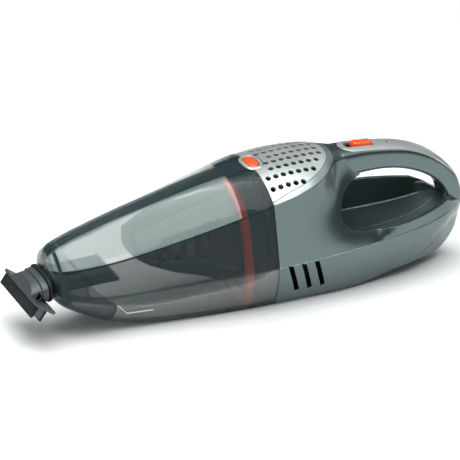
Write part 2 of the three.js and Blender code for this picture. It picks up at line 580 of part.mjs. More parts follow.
// ---------------------------------------------------------------- suction motor and fan
const screenSlots = [-24, -8, 8, 24].map((y) => block(-40, 60, y - 4, y + 4, 44, 96));
const bulkhead = housingForm(WALL + 0.8).intersect(slice(3, 5.4)).intersect(block(-20, 60, -60, 60, 4, 100));
piece("front_screen", cut(bulkhead, screenSlots), DARK);
const FAN = { front: 24, back: 35, r: 31 };
const alongMotor = (x0, x1, r, sides = 32) => rod([x0, 0, MOTOR_Z], [x1, 0, MOTOR_Z], r, r, sides);
const exhausts = range(0, 5, 5).map((k) => {
  const angle = (k * Math.PI) / 3 + 0.5;
  return rod([30, 0, MOTOR_Z], [30, 50 * Math.cos(angle), MOTOR_Z + 50 * Math.sin(angle)], 4, 4, 10);
});
piece("fan_shroud", cut(alongMotor(FAN.front - 2.4, FAN.back + 2.4, FAN.r + 3.2), [
  alongMotor(FAN.front - 0.6, FAN.back + 0.6, FAN.r + 1.2),
  alongMotor(10, 30, 12, 20),
  alongMotor(30, 60, 5, 20),
  ...exhausts,
]), DARK);
const blades = range(0, 7, 7).map((k) => {
  const angle = (k * Math.PI) / 4;
  const [c, s] = [Math.cos(angle), Math.sin(angle)];
  const at = (r, side) => new THREE.Vector3(0, r * c - side * s, MOTOR_Z + r * s + side * c);
  const outline = [at(5, -0.8), at(5, 0.8), at(FAN.r - 1, 5.6), at(FAN.r - 1, 4)];
  const ringAt = (x) => outline.map((p) => p.clone().setX(x));
  return loft([ringAt(FAN.front + 1), ringAt(FAN.back - 2)]);
});
piece("fan_impeller", cut(
  join([
    alongMotor(FAN.back - 3, FAN.back - 1, FAN.r), alongMotor(FAN.front + 1, FAN.back - 2, 6.5, 16), ...blades,
  ]),
  [alongMotor(0, 60, 1.9, 12)],
), GREY);
piece("motor_shaft", alongMotor(FAN.front + 1.5, 70, 1.6, 12), STEEL);
const CAN = { front: 40, back: 66 };
piece("motor_can", cut(alongMotor(CAN.front, CAN.back, MOTOR_R), [
  alongMotor(CAN.front + 1.5, 80, MOTOR_R - 1.5), alongMotor(30, 80, 3, 16),
]), STEEL);
piece("motor_end_cap", cut(
  alongMotor(CAN.back + GAP, CAN.back + 3, MOTOR_R - 0.4), [alongMotor(60, 80, 2.4, 16)],
), DARK);
piece("motor_rotor", cut(
  alongMotor(CAN.front + 4, CAN.back - 4, 11, 20), [alongMotor(30, 80, 1.9, 12)],
), STEEL);
piece("motor_mount", cut(
  block(46, 60, -24, 24, MOTOR_Z - 28, MOTOR_Z - 3), [alongMotor(30, 80, MOTOR_R + GAP)],
), DARK);

// ---------------------------------------------------------------- battery, board, contacts
const CELLS = [42, 86].flatMap((x) => [-22, 0, 22].map((y) => [x, y]));
const cellBar = ([x, y], grow) => rod(
  [x - grow, y, CELL_Z], [x + CELL_LENGTH + grow, y, CELL_Z], CELL_R + grow, CELL_R + grow, 14,
);
CELLS.forEach((cell, k) => piece(`battery_cell_${k + 1}`, cellBar(cell, 0), CELL_WRAP));
piece("battery_tray", cut(block(40, 128, -26, 26, 11, 16.5), CELLS.map((cell) => cellBar(cell, GAP))), DARK);
piece("circuit_board", block(140, 162, -14, 14, 24, 25.6), BOARD);
piece("micro_switch", block(103, 115, -3.5, 3.5, 105, 112), DARK);
[["left", -9], ["right", 9]].forEach(([side, y]) => piece(
  `charge_contact_${side}`, block(97, 107, y - 2, y + 2, 2.6, 7), BRASS,
));

export default group;
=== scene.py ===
# %% [markdown]
# # Cordless handheld vacuum
# The object is a small battery vacuum: a smoke-clear dust container with a squeegee nozzle in front, and
# a gunmetal motor housing with a bridge handle behind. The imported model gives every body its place. This
# lesson builds the skins that the eye sees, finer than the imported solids, and lets each one ride on its
# body.

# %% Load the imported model
import math

import bmesh
import bpy
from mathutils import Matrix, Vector
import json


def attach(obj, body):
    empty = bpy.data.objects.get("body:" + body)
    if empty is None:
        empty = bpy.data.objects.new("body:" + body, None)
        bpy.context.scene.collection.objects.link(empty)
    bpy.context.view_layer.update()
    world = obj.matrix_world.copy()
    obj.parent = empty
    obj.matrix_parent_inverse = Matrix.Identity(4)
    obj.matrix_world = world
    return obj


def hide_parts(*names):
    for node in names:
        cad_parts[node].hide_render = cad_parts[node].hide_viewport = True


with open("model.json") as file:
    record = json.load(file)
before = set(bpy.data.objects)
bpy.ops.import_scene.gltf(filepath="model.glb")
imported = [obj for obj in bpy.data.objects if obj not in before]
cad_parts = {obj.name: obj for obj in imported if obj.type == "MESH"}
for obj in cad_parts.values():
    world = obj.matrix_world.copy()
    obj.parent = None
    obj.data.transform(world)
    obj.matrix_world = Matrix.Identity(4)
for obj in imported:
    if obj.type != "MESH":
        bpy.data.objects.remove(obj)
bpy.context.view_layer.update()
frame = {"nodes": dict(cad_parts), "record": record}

# %% [markdown]
# ## Camera
# A long lens from the front left, 25 degrees above the table, shows the nozzle, the clear side and the
# handle together. A shorter lens would bend the long body, so the camera stands 2.5 m away. The small
# shift only places the object in the frame.

# %% Camera
AIM = Vector((-0.012, 0.0, 0.057))
AZIMUTH, ELEVATION, DISTANCE = math.radians(-24), math.radians(25), 2.5
back_x, back_y = math.sin(AZIMUTH) * math.cos(ELEVATION), -math.cos(AZIMUTH) * math.cos(ELEVATION)
back = Vector((back_x, back_y, math.sin(ELEVATION)))
lens = bpy.data.cameras.new("camera")
lens.lens = 229.9
lens.sensor_width = 36
lens.shift_x, lens.shift_y = 0.0011, 0.0087
lens.clip_end = 50
camera = bpy.data.objects.new("camera", lens)
camera.location = AIM + DISTANCE * back
camera.rotation_euler = (-back).to_track_quat("-Z", "Y").to_euler()
bpy.context.scene.collection.objects.link(camera)
bpy.context.scene.camera = camera
bpy.context.scene.view_settings.view_transform = "Standard"
print("camera stands at", [round(c, 3) for c in camera.location])

# %% [markdown]
# ## Shader wires
# A finish is a small program. Writing it as sums is easier to read than a list of nodes, so one class
# wraps a node's output and adds a Math node for each operation. Colours don't pass through it, because a
# Math node would turn them grey.


# %% Wire and Finish
class Wire:
    """A value in a material that can be used in sums: 0.2 + noise adds a Math node."""

    def __init__(self, finish, socket):
        self.finish, self.socket = finish, socket

    def math(self, operation, first, second=0.0):
        return self.finish.node("Math", {"operation": operation}, {0: first, 1: second})

    def __add__(self, other):
        return self.math("ADD", self, other)

    def __radd__(self, other):
        return self.math("ADD", other, self)

    def __sub__(self, other):
        return self.math("SUBTRACT", self, other)

    def __mul__(self, other):
        return self.math("MULTIPLY", self, other)

    def ramp(self, low, high, start=0.0, end=1.0):
        """start below low, end above high, and smooth in between"""
        return self.finish.node(
            "MapRange",
            {"interpolation_type": "SMOOTHSTEP"},
            {"Value": self, "From Min": low, "From Max": high, "To Min": start, "To Max": end},
        )


class Finish:
    """One material, made of nodes."""

    def __init__(self, name):
        self.material = bpy.data.materials.new(name)
        self.material.use_nodes = True
        self.tree = self.material.node_tree
        self.tree.nodes.clear()

    def node(self, kind, settings=None, inputs=None, output=0):
        made = self.tree.nodes.new("ShaderNode" + kind)
        for key, value in (settings or {}).items():
            setattr(made, key, value)
        for key, value in (inputs or {}).items():
            if isinstance(value, Wire):
                self.tree.links.new(value.socket, made.inputs[key])
            else:
                made.inputs[key].default_value = value
        return Wire(self, made.outputs[output])

    def place(self):
        return self.node("TexCoord", output="Object")

    def noise(self, scale, detail=3.0, roughness=0.5, stretch=None):
        place = self.place()
        if stretch:
            place = self.node("Mapping", None, {"Vector": place, "Scale": stretch})
        inputs = {"Vector": place, "Scale": scale, "Detail": detail, "Roughness": roughness}
        return self.node("TexNoise", None, inputs)

    def mix(self, factor, first, second):
        inputs = {0: factor, 6: first, 7: second}
        return self.node("Mix", {"data_type": "RGBA"}, inputs, output=2)

    def bump(self, height, depth, strength=1.0, normal=None):
        inputs = {"Height": height, "Distance": depth, "Strength": strength}
        if normal:
            inputs["Normal"] = normal
        return self.node("Bump", None, inputs)

    def rounded(self, radius):
        """The surface's direction with every sharp edge rounded"""
        return self.node("Bevel", {"samples": 4}, {"Radius": radius})

    def edges(self, radius):
        """1 along sharp edges and 0 on open faces"""
        flat = self.node("NewGeometry", output="Normal")
        inputs = {0: self.rounded(radius), 1: flat}
        along = self.node("VectorMath", {"operation": "DOT_PRODUCT"}, inputs, output=1)
        return along.ramp(0.88, 0.999, 1.0, 0.0)

    def principled(self, inputs):
        return self.node("BsdfPrincipled", None, inputs)

    def finish(self, shader):
        target = self.tree.nodes.new("ShaderNodeOutputMaterial")
        self.tree.links.new(shader.socket, target.inputs["Surface"])
        return self.material


def tone(*srgb):
    """A colour as a paint chart gives it, 0 to 255, made linear"""
    return tuple((c / 255 / 12.92) if c < 10.4 else ((c / 255 + 0.055) / 1.055) ** 2.4 for c in srgb) + (1.0,)


print("a mid grey is", round(tone(128, 128, 128)[0], 3), "in linear light")

# %% [markdown]
# ## Moulded plastic
# Most of the vacuum is injection moulded. The mould's skin leaves a fine grain, the gloss isn't even, and
# corners are rubbed a little lighter. One function makes all the opaque plastics from these three
# effects, and each finish gives its own colour, gloss and grain.


# %% Moulded finishes
def moulded(name, colour, gloss, grain=0.00004, scale=2600.0, metal=0.0, coat=0.0, worn=0.25, bevel=0.0005):
    finish = Finish(name)
    fine = finish.noise(scale, 4.0, 0.6)
    broad = finish.noise(34.0, 3.0)
    wear_and_edge_highlight = finish.edges(bevel * 1.6) * finish.noise(220.0, 4.0).ramp(0.35, 0.7)
    lighter = tuple(min(1.0, c * 1.5 + 0.05) for c in colour[:3]) + (1.0,)
    darker = tuple(c * 0.86 for c in colour[:3]) + (1.0,)
    base = finish.mix(broad.ramp(0.3, 0.7), darker, colour)
    base = finish.mix(wear_and_edge_highlight * worn, base, lighter)
    rough = gloss + (broad - 0.5) * 0.10 + (fine - 0.5) * 0.08 - wear_and_edge_highlight * 0.08
    normal = finish.bump(fine, grain, 1.0, finish.rounded(bevel))
    return finish.finish(finish.principled({
        "Base Color": base, "Roughness": rough, "Metallic": metal, "Normal": normal,
        "Coat Weight": coat, "Coat Roughness": 0.12,
    }))


FINISH = {
    "silver": moulded("silver_paint", tone(190, 197, 195), 0.36, 0.00002, 5200.0, metal=0.6, coat=0.12),
    "rim_silver": moulded(
        "rim_silver_paint", tone(168, 178, 177), 0.3, 0.00002, 5200.0, metal=0.85, coat=0.15
    ),
    "orange": moulded("orange_plastic", tone(246, 84, 24), 0.3, 0.00002, coat=0.5, worn=0.35),
    "nozzle_plastic": moulded("nozzle_plastic", tone(72, 80, 81), 0.42, metal=0.25),
    "dark_plastic": moulded("dark_plastic", tone(24, 29, 30), 0.5),
    "grey_plastic": moulded("grey_plastic", tone(128, 138, 138), 0.4),
    "dark_red": moulded("dark_red_plastic", tone(86, 22, 14), 0.5),
}
print("moulded finishes:", ", ".join(sorted(FINISH)))

# %% [markdown]
# ## Gunmetal paint
# The housing is painted with a fine metal flake under a thin clear coat. Flake is too small to see as
# dots, so it shows as a sparkle in the gloss. A slow change in the gloss keeps the large panels from
# looking like film.


# %% Gunmetal paint
def flake_paint():
    finish = Finish("gunmetal_paint")
    flake = finish.noise(5200.0, 2.0, 0.7)
    broad = finish.noise(26.0, 3.0)
    # lighter along sharp edges: rubbed paint, and a painted highlight that draws the thin bright line along
    # the belt and keel creases
    wear_and_edge_highlight = finish.edges(0.0010) * finish.noise(260.0, 4.0).ramp(0.35, 0.75)
    base = finish.mix(flake.ramp(0.3, 0.75), tone(90, 104, 104), tone(114, 129, 129))
    # tone(196, 206, 205) is the colour of the rubbed paint and of the painted edge highlight
    base = finish.mix(wear_and_edge_highlight * 0.55, base, tone(196, 206, 205))
    rough = 0.29 + (broad - 0.5) * 0.08 + (flake - 0.5) * 0.12
    normal = finish.bump(flake, 0.000012, 1.0, finish.rounded(0.0006))
    return finish.finish(finish.principled({
        "Base Color": base, "Roughness": rough, "Metallic": 0.88, "Normal": normal,
        "Coat Weight": 0.25, "Coat Roughness": 0.1,
    }))


FINISH["gunmetal"] = flake_paint()
print("gunmetal paint ready")

# %% [markdown]
# ## Smoke-clear plastic
# The container is clear plastic with a smoke tint. Real glass shading needs many samples to look through
# four walls, so each skin is a thin tinted film: mostly see-through, with a clear gloss on top that grows
# at grazing angles. A value stored on each face says how strong the tint is, and it also paints light and
# shade: the upper shoulder gets a pale colour as a painted reflection of the bright sky, and the creases,
# cut edges and underside get a dark colour as painted shade. The top strip is dark too.


# %% Smoke-clear plastic
def smoke_clear():
    finish = Finish("smoke_clear_plastic")
    # the stored value sets the smoke tint and paints light and shade: low on the upper shoulder for a pale
    # painted reflection, high on creases, cut edges and underside for painted shade
    tint_and_painted_light = finish.node("Attribute", {"attribute_name": "tint_and_painted_light"}, output="Fac")
    scuff = finish.noise(300.0, 4.0, 0.6, (0.25, 1.0, 1.0)).ramp(0.6, 0.8)
    swirl = finish.noise(60.0, 2.0)
    # pale colour: painted reflection on the upper shoulder; dark colour: smoke tint, with painted shade on
    # creases, cut edges and underside
    base = finish.mix(tint_and_painted_light.ramp(0.27, 0.34), tone(176, 194, 190), tone(30, 48, 50))
    skin = finish.principled({
        "Base Color": base, "Roughness": 0.12 + swirl * 0.06, "Alpha": tint_and_painted_light + scuff * 0.02,
        "Normal": finish.bump(swirl, 0.0001, 0.3), "Specular IOR Level": 0.1,
    })
    gloss_inputs = {"Color": (1.0, 1.0, 1.0, 1.0), "Roughness": 0.05 + scuff * 0.2}
    gloss = finish.node("BsdfGlossy", None, gloss_inputs)
    sheen = finish.node("Fresnel", None, {"IOR": 1.35})
    return finish.finish(finish.node("MixShader", None, {0: sheen * 0.4, 1: skin, 2: gloss}))


FINISH["smoke_clear"] = smoke_clear()
print("smoke-clear plastic ready")

# %% [markdown]
# ## Rubber, seal and cloth
# The squeegee and seals are matt and slightly mottled. The orange seal is soft and picks up dust, so it's
# duller than the orange plastic. The filter cloth is a pleated fleece: many short fibres, no gloss.


# %% Rubber, seal and cloth
def soft_finish(name, colour, rough, depth, scale, dust):
    finish = Finish(name)
    grain = finish.noise(scale, 6.0, 0.65)
    patch = finish.noise(70.0, 4.0).ramp(0.4, 0.75)
    pale = tuple(min(1.0, c * 1.25 + 0.04) for c in colour[:3]) + (1.0,)
    base = finish.mix(patch * dust, colour, pale)
    normal = finish.bump(grain, depth, 1.0, finish.rounded(0.0004))
    inputs = {
        "Base Color": base, "Roughness": rough + (grain - 0.5) * 0.2, "Specular IOR Level": 0.25,
        "Normal": normal,
    }
    return finish.finish(finish.principled(inputs))


FINISH["black_rubber"] = soft_finish("black_rubber", tone(16, 19, 20), 0.66, 0.00005, 1800.0, 0.35)
FINISH["orange_seal"] = soft_finish("orange_seal", tone(244, 76, 26), 0.5, 0.00004, 1500.0, 0.3)
FINISH["filter_cloth"] = soft_finish("filter_cloth", tone(214, 214, 205), 0.95, 0.0003, 2400.0, 0.6)
print("soft finishes ready")


# %% [markdown]
# ## Metals, cells and board
# Behind the slots are the parts that a repairer would find: a drawn steel motor can, brass contacts,
# wrapped cells and a lacquered board. Steel and brass are brushed along the motor, so their noise is
# stretched.


# %% Metals, cells and board
def brushed(name, colour, rough):
    finish = Finish(name)
    lines = finish.noise(1500.0, 5.0, 0.6, (0.08, 1.0, 1.0))
    stain = finish.noise(90.0, 4.0).ramp(0.45, 0.8)
    dull = tuple(c * 0.6 for c in colour[:3]) + (1.0,)
    inputs = {
        "Base Color": finish.mix(stain * 0.5, colour, dull), "Metallic": 1.0,
        "Roughness": rough + lines * 0.18, "Normal": finish.bump(lines, 0.00003),
    }
    return finish.finish(finish.principled(inputs))


FINISH["steel"] = brushed("brushed_steel", tone(186, 190, 192), 0.22)
FINISH["brass"] = brushed("brushed_brass", tone(206, 164, 84), 0.25)
FINISH["cell_wrap"] = moulded("cell_wrap", tone(30, 34, 38), 0.3, coat=0.4)
FINISH["circuit_board"] = moulded("circuit_board", tone(26, 82, 48), 0.45, 0.00008, 900.0, coat=0.3)


def lamp():
    finish = Finish("lamp_lens")
    lens_noise = finish.noise(1400.0, 2.0)
    inputs = {
        "Base Color": finish.mix(lens_noise, tone(96, 20, 14), tone(140, 34, 22)),
        "Roughness": 0.12 + lens_noise * 0.1, "Coat Weight": 0.6,
        "Normal": finish.bump(lens_noise, 0.00004),
    }
    return finish.finish(finish.principled(inputs))


FINISH["lamp"] = lamp()
print(len(FINISH), "finishes")

# %% [markdown]
# ## Measuring tables
# A moulded body has no simple formula, so it is described as a boat builder would: by stations along its
# length, each with the corners of its section. Between stations the values follow a smooth curve that never
# overshoots. All sizes here are in millimetres, and meshes are scaled to metres when they are made.

# %% Tables along the body
MM = 0.001
# x, top facet edge (y, z), upper crease (y, z), lower crease (y, z), belly edge (y, z), fullness
CONTAINER = [
    [-181, 4.5, 66, 13, 60, 16, 49, 10, 42, 1.1],
    [-179.5, 6.2, 71, 19, 61.5, 22, 46, 15, 37, 1.1],
    [-175, 7, 76, 24.5, 62.8, 27, 41.5, 18, 31.5, 1.15],
    [-167, 7.2, 79.5, 28.3, 63.8, 31, 38, 20.5, 26, 1.2],
    [-157, 7.3, 83.3, 30.6, 64.6, 33, 36.2, 21.5, 20.5, 1.2],
    [-145, 7.5, 87, 32.4, 65.7, 34.5, 35.4, 22.5, 14.5, 1.25],
    [-130, 7.7, 91.5, 34.2, 67.4, 36, 35.2, 24, 9, 1.3],
    [-110, 8, 97, 36.6, 71, 38.3, 36.3, 25.7, 4.6, 1.35],
    [-90, 8.2, 101.8, 39, 75.2, 40.6, 37, 27.3, 2.2, 1.45],
    [-60, 8.7, 109, 43, 82.4, 44.4, 38, 29.5, 0.8, 1.7],
    [-30, 9.3, 115.2, 46.7, 90.2, 47.6, 39.2, 31.5, 0, 2.1],
    [5, 10, 120.2, 50.4, 99.5, 50.5, 40.6, 33, 0, 2.6],
    [24, 10, 122, 50.4, 103, 50.5, 41.3, 33, 0, 2.6],
]
# x, shoulder (y, z), crown z
SHOULDER = [
    [-8, 50.4, 98.8, 119.8], [5, 50.4, 100, 120.8], [22, 50, 103.6, 122.4], [41, 46, 107.7, 123.4],
    [56.5, 39.5, 111.3, 123.7], [67.7, 30.5, 115.2, 123.2], [76, 22.5, 115.8, 122.4],
    [84, 17.5, 115.5, 121.2], [92, 15, 114.2, 119.6], [98, 14, 109, 114], [103, 13.5, 100, 105],
    [106, 13.5, 92, 96], [112, 32.5, 78.5, 82], [120, 40, 72, 74], [130, 42.8, 69, 70],
    [150, 38.6, 68, 69], [170, 31, 67, 68], [184, 24.5, 62.6, 63.2], [190, 21, 59.5, 60.3],
    [200, 12.5, 55.5, 56.5], [207.1, 4.5, 51, 52],
]
# x, belt crease (y, z), keel crease (y, z), belly edge (y, z)
HULL = [
    [-8, 50.5, 40.2, 33.5, 0.7, 31, 0], [30, 50.5, 41.7, 33.5, 0.7, 31, 0],
    [60, 50, 43.3, 33.2, 0.7, 30.6, 0], [78, 49.5, 44.6, 32.6, 0.9, 30, 0],
    [100, 48.2, 46.3, 31.4, 3.6, 28.8, 2.8], [125, 45.2, 47.9, 29.8, 8, 27, 7],
    [150, 39.8, 48.9, 28, 12.8, 23, 8.5], [165, 35, 49.8, 26.6, 22, 18.5, 9],
    [181, 28.5, 51.6, 21.8, 33, 14, 11.5], [192, 21.5, 52.4, 15.5, 38.3, 10.5, 18],
    [202, 12.5, 51.3, 9, 41.5, 6.5, 28.5], [207.1, 4.5, 49.3, 3.4, 45.2, 2.4, 38],
]
print("stations on the container, shoulder and hull:", len(CONTAINER), len(SHOULDER), len(HULL))


# %% Reading a table
def table_at(table, x):
    """The row at x, between the table's own rows"""
    last = len(table) - 1
    at = min(max(x, table[0][0]), table[last][0])
    row = 0
    while row < last - 1 and at > table[row + 1][0]:
        row += 1
    step = [table[k + 1][0] - table[k][0] for k in range(last)]
    t = (at - table[row][0]) / step[row]

    def slope(k, c):
        rises = [(table[j + 1][c] - table[j][c]) / step[j] for j in (k - 1, k) if 0 <= j < last]
        if len(rises) == 1:
            return rises[0]
        before, after = rises
        return 0 if before * after <= 0 else 2 * before * after / (before + after)

    values = []
    for c in range(1, len(table[0])):
        a, b = table[row][c], table[row + 1][c]
        m, n = slope(row, c) * step[row], slope(row + 1, c) * step[row]
        leaving = (2 * t**3 - 3 * t**2 + 1) * a + (t**3 - 2 * t**2 + t) * m
        values.append(leaving + (3 * t**2 - 2 * t**3) * b + (t**3 - t**2) * n)
    return values


def spread(start, end, steps):
    return [start + (end - start) * k / steps for k in range(steps + 1)]


print("container width at its middle:", round(2 * table_at(CONTAINER, -85)[4], 1), "mm")

# %% [markdown]
# ## Mesh tools
# Every skin comes from three moves: loft rings into a closed body, extrude an outline, and cut one closed
# body with another. Cutting closed bodies keeps walls, slots and seams honest, because what is left is
# always a real solid with a thickness.


# %% Mesh tools
def mesh_object(name, points, faces):
    """A closed mesh with its faces pointing out, from points in millimetres"""
    mesh = bpy.data.meshes.new(name)
    mesh.from_pydata([Vector(p) * MM for p in points], [], faces)
    work = bmesh.new()
    work.from_mesh(mesh)
    bmesh.ops.remove_doubles(work, verts=work.verts, dist=1e-6)
    bmesh.ops.dissolve_degenerate(work, edges=work.edges, dist=1e-7)
    if work.calc_volume(signed=True) < 0:
        bmesh.ops.reverse_faces(work, faces=work.faces)
    work.to_mesh(mesh)
    work.free()
    made = bpy.data.objects.new(name, mesh)
    bpy.context.scene.collection.objects.link(made)
    return made


def loft(name, rings, closed=False):
    """Skin through rings of equal length, with flat ends, or joined end to end"""
    count = len(rings[0])
    points = [p for ring in rings for p in ring]
    faces = []
    spans = len(rings) if closed else len(rings) - 1
    for r in range(spans):
        here, there = r * count, ((r + 1) % len(rings)) * count
        for k in range(count):
            after = (k + 1) % count
            faces.append((here + k, here + after, there + after, there + k))
    if not closed:
        for r, ring in ((0, rings[0]), (spans, rings[-1])):
            points.append(sum((Vector(p) for p in ring), Vector()) / count)
            for k in range(count):
                edge = (r * count + k, r * count + (k + 1) % count)
                faces.append((*(edge[::-1] if r == 0 else edge), len(points) - 1))
    return mesh_object(name, points, faces)


def prism_y(name, outline, y0, y1):
    return loft(name, [[(x, y, z) for x, z in outline] for y in (y0, y1)])


def prism_z(name, outline, z0, z1):
    return loft(name, [[(x, y, z) for x, y in outline] for z in (z0, z1)])


def block(name, x0, x1, y0, y1, z0, z1):
    return prism_z(name, [(x0, y0), (x1, y0), (x1, y1), (x0, y1)], z0, z1)


def bar(name, start, end, radius, end_radius=None, sides=32):
    start, end = Vector(start), Vector(end)
    along = (end - start).normalized()
    across = along.orthogonal().normalized()
    other = along.cross(across)
    angles = [2 * math.pi * k / sides for k in range(sides)]
    rings = []
    for centre, r in ((start, radius), (end, radius if end_radius is None else end_radius)):
        rings.append([centre + r * (math.cos(a) * across + math.sin(a) * other) for a in angles])
    return loft(name, rings)


def oval(a, b, squareness, count):
    points = []
    for k in range(count):
        c, s = math.cos(2 * math.pi * k / count), math.sin(2 * math.pi * k / count)
        across = a * math.copysign(abs(c) ** (2 / squareness), c)
        points.append((across, b * math.copysign(abs(s) ** (2 / squareness), s)))
    return points


def settle(thing):
    """Turns the modifiers into plain mesh"""
    graph = bpy.context.evaluated_depsgraph_get()
    fresh = bpy.data.meshes.new_from_object(thing.evaluated_get(graph))
    thing.modifiers.clear()
    thing.data = fresh
    return thing


def volume(thing):
    work = bmesh.new()
    work.from_mesh(thing.data)
    cubic = work.calc_volume(signed=True)
    work.free()
    return cubic * 1e6


def combine(body, tools, operation="DIFFERENCE", keep=False):
    """Cuts, joins or intersects body with each tool, and throws the tools away unless keep is set"""
    for tool in tools:
        step = body.modifiers.new(operation.lower(), "BOOLEAN")
        step.operation, step.object, step.solver = operation, tool, "MANIFOLD"
        settle(body)
        if not keep:
            bpy.data.objects.remove(tool)
    return body


def copy_of(thing, name):
    made = bpy.data.objects.new(name, thing.data.copy())
    bpy.context.scene.collection.objects.link(made)
    return made


def gathered(name, parts):
    """Several bodies that don't touch, as one"""
    work = bmesh.new()
    for part in parts:
        work.from_mesh(part.data)
        bpy.data.objects.remove(part)
    mesh = bpy.data.meshes.new(name)
    work.to_mesh(mesh)
    work.free()
    made = bpy.data.objects.new(name, mesh)
    bpy.context.scene.collection.objects.link(made)
    return made


def show(thing, name, body, finish, nodes, angle=28.0):
    """Names the finished piece, gives it its finish, and lets it ride on its body in place of its nodes"""
    thing.name = thing.data.name = name
    thing.data.materials.clear()
    thing.data.materials.append(FINISH[finish])
    thing.data.polygons.foreach_set("material_index", [0] * len(thing.data.polygons))
    thing.data.polygons.foreach_set("use_smooth", [True] * len(thing.data.polygons))
    thing.data.set_sharp_from_angle(angle=math.radians(angle))
    weighted = thing.modifiers.new("weighted", "WEIGHTED_NORMAL")
    weighted.keep_sharp = True
    settle(thing)
    thing.data.name = name
    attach(thing, body)
    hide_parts(*nodes)
    print(f"{name}: {len(thing.data.polygons)} faces, {volume(thing):.2f} ml")
    return thing


print("mesh tools ready")


# %% Sections
def rounded_corner(before, corner, after, reach):
    """Three points in place of a corner"""
    before, corner, after = Vector(before), Vector(corner), Vector(after)
    a = corner + (before - corner).normalized() * min(reach, (before - corner).length * 0.45)
    b = corner + (after - corner).normalized() * min(reach, (after - corner).length * 0.45)
    return [tuple(p) for p in (a, (a + 2 * corner + b) / 4, b)]


def facet(start, end, bow, count):
    """Points from one corner to the next, bowed out in the middle, without the first"""
    (y0, z0), (y1, z1) = start, end
    long = math.hypot(y1 - y0, z1 - z0)
    points = []
    for t in spread(0, 1, count)[1:]:
        out = 4 * t * (1 - t) * bow / long
        points.append((y0 + (y1 - y0) * t - (z1 - z0) * out, z0 + (z1 - z0) * t + (y1 - y0) * out))
    return points


def whole_ring(half, corners, reach):
    """Mirrors a half-section (top centre to bottom centre), with the named corners rounded"""
    soft = []
    for k, point in enumerate(half):
        soft += rounded_corner(half[k - 1], point, half[k + 1], reach) if k in corners else [point]
    return soft + [(-y, z) for y, z in soft[-2:0:-1]]


def moved_in(ring, inset):
    """The ring with every point moved inwards"""
    if inset == 0:
        return ring
    out = []
    for k, (y, z) in enumerate(ring):
        (ay, az), (by, bz) = ring[k - 1], ring[(k + 1) % len(ring)]
        long = math.hypot(by - ay, bz - az)
        out.append((y + (bz - az) / long * inset, z - (by - ay) / long * inset))
    return out


def station(x, ring):
    return [(x, y, z) for y, z in ring]


print("section helpers ready")

# %% [markdown]
# ## Outer form of the housing
# The housing is a domed top that runs down over a flared side to a sharp belt crease, then tucks in to a
# keel. The dome falls off with the third power of the width, which keeps its middle flat and its shoulder
# round, as a moulded cover has. The belt and keel creases end in narrow lips that catch a thin line of
# light.


# %% Housing section
FLARE_WAIST = 0.2


def top_z(x, y):
    shoulder_y, shoulder_z, crown = table_at(SHOULDER, x)
    return crown - (crown - shoulder_z) * abs(y / shoulder_y) ** 3


def housing_half(x):
    ys, zs, crown = table_at(SHOULDER, x)
    yl, zl, yk, zk, yb, zb = table_at(HULL, x)
    dome = [(f * ys, top_z(x, f * ys)) for f in (0.2, 0.4, 0.55, 0.7, 0.8, 0.88, 0.95, 1)]
    drop = zs - zl
    waist = yl - FLARE_WAIST * (yl - ys)
    controls = [(ys, zs), (ys + 1, zs - 0.47 * drop), (waist, zl + 0.45 * drop), (yl, zl)]
    flare = []
    for t in spread(0, 1, 14)[1:]:
        weights = [(1 - t) ** 3, 3 * t * (1 - t) ** 2, 3 * t * t * (1 - t), t**3]
        flare.append(tuple(sum(w * c[axis] for w, c in zip(weights, controls)) for axis in (0, 1)))
    lower = facet((yl, zl), (yk, zk), 1.6, 8)
    flare[-1:] = [(yl - 0.5, zl + 0.6), (yl, zl + 0.1), (yl - 0.05, zl - 0.25)]
    lower[-1:] = [(yk - 0.35, zk + 0.5), (yk, zk + 0.1), (yk - 0.1, zk - 0.3)]
    return [(0, crown)] + dome + flare + lower + [(yb, zb), (0, zb)]


HOUSING_STATIONS = sorted(set(spread(-8, 78, 32) + spread(78, 130, 40) + spread(130, 207.1, 36)))


def housing_form(name, inset):
    stations = [x for x in HOUSING_STATIONS if inset == 0 or x < 201]
    rings = [station(x, moved_in(whole_ring(housing_half(x), (), 0), inset)) for x in stations]
    return loft(name, rings)


print("housing section has", len(housing_half(40)), "points a side")

# %% [markdown]
# ## Bridge handle
# The handle is a flattened bar that leaves the dome, arches over the finger hole and dives down into the
# tail. A smooth curve through a dozen points carries its centre line. The section is a superellipse:
# nearly flat on top, where the silver strip lies, and a little squarer underneath, so that its sides stay
# upright.

# %% Handle
# centre line (x, z), half width, half thickness
HANDLE = [
    [72, 105, 16.5, 12.5], [84, 107.2, 16.2, 12.6], [97, 108, 15.3, 11.8], [113, 107.9, 14.2, 10.9],
    [131, 106.6, 13.9, 10.1], [148, 103.4, 13.7, 10], [163, 98, 13.4, 9.9], [177, 90, 13, 9.6],
    [188, 80, 12.3, 9.1], [195, 69.5, 11.6, 8.9], [198.2, 58.5, 10.6, 9], [198.6, 48.5, 9.4, 8.6],
]
TOP_SQUARE, UNDER_SQUARE = 4, 5


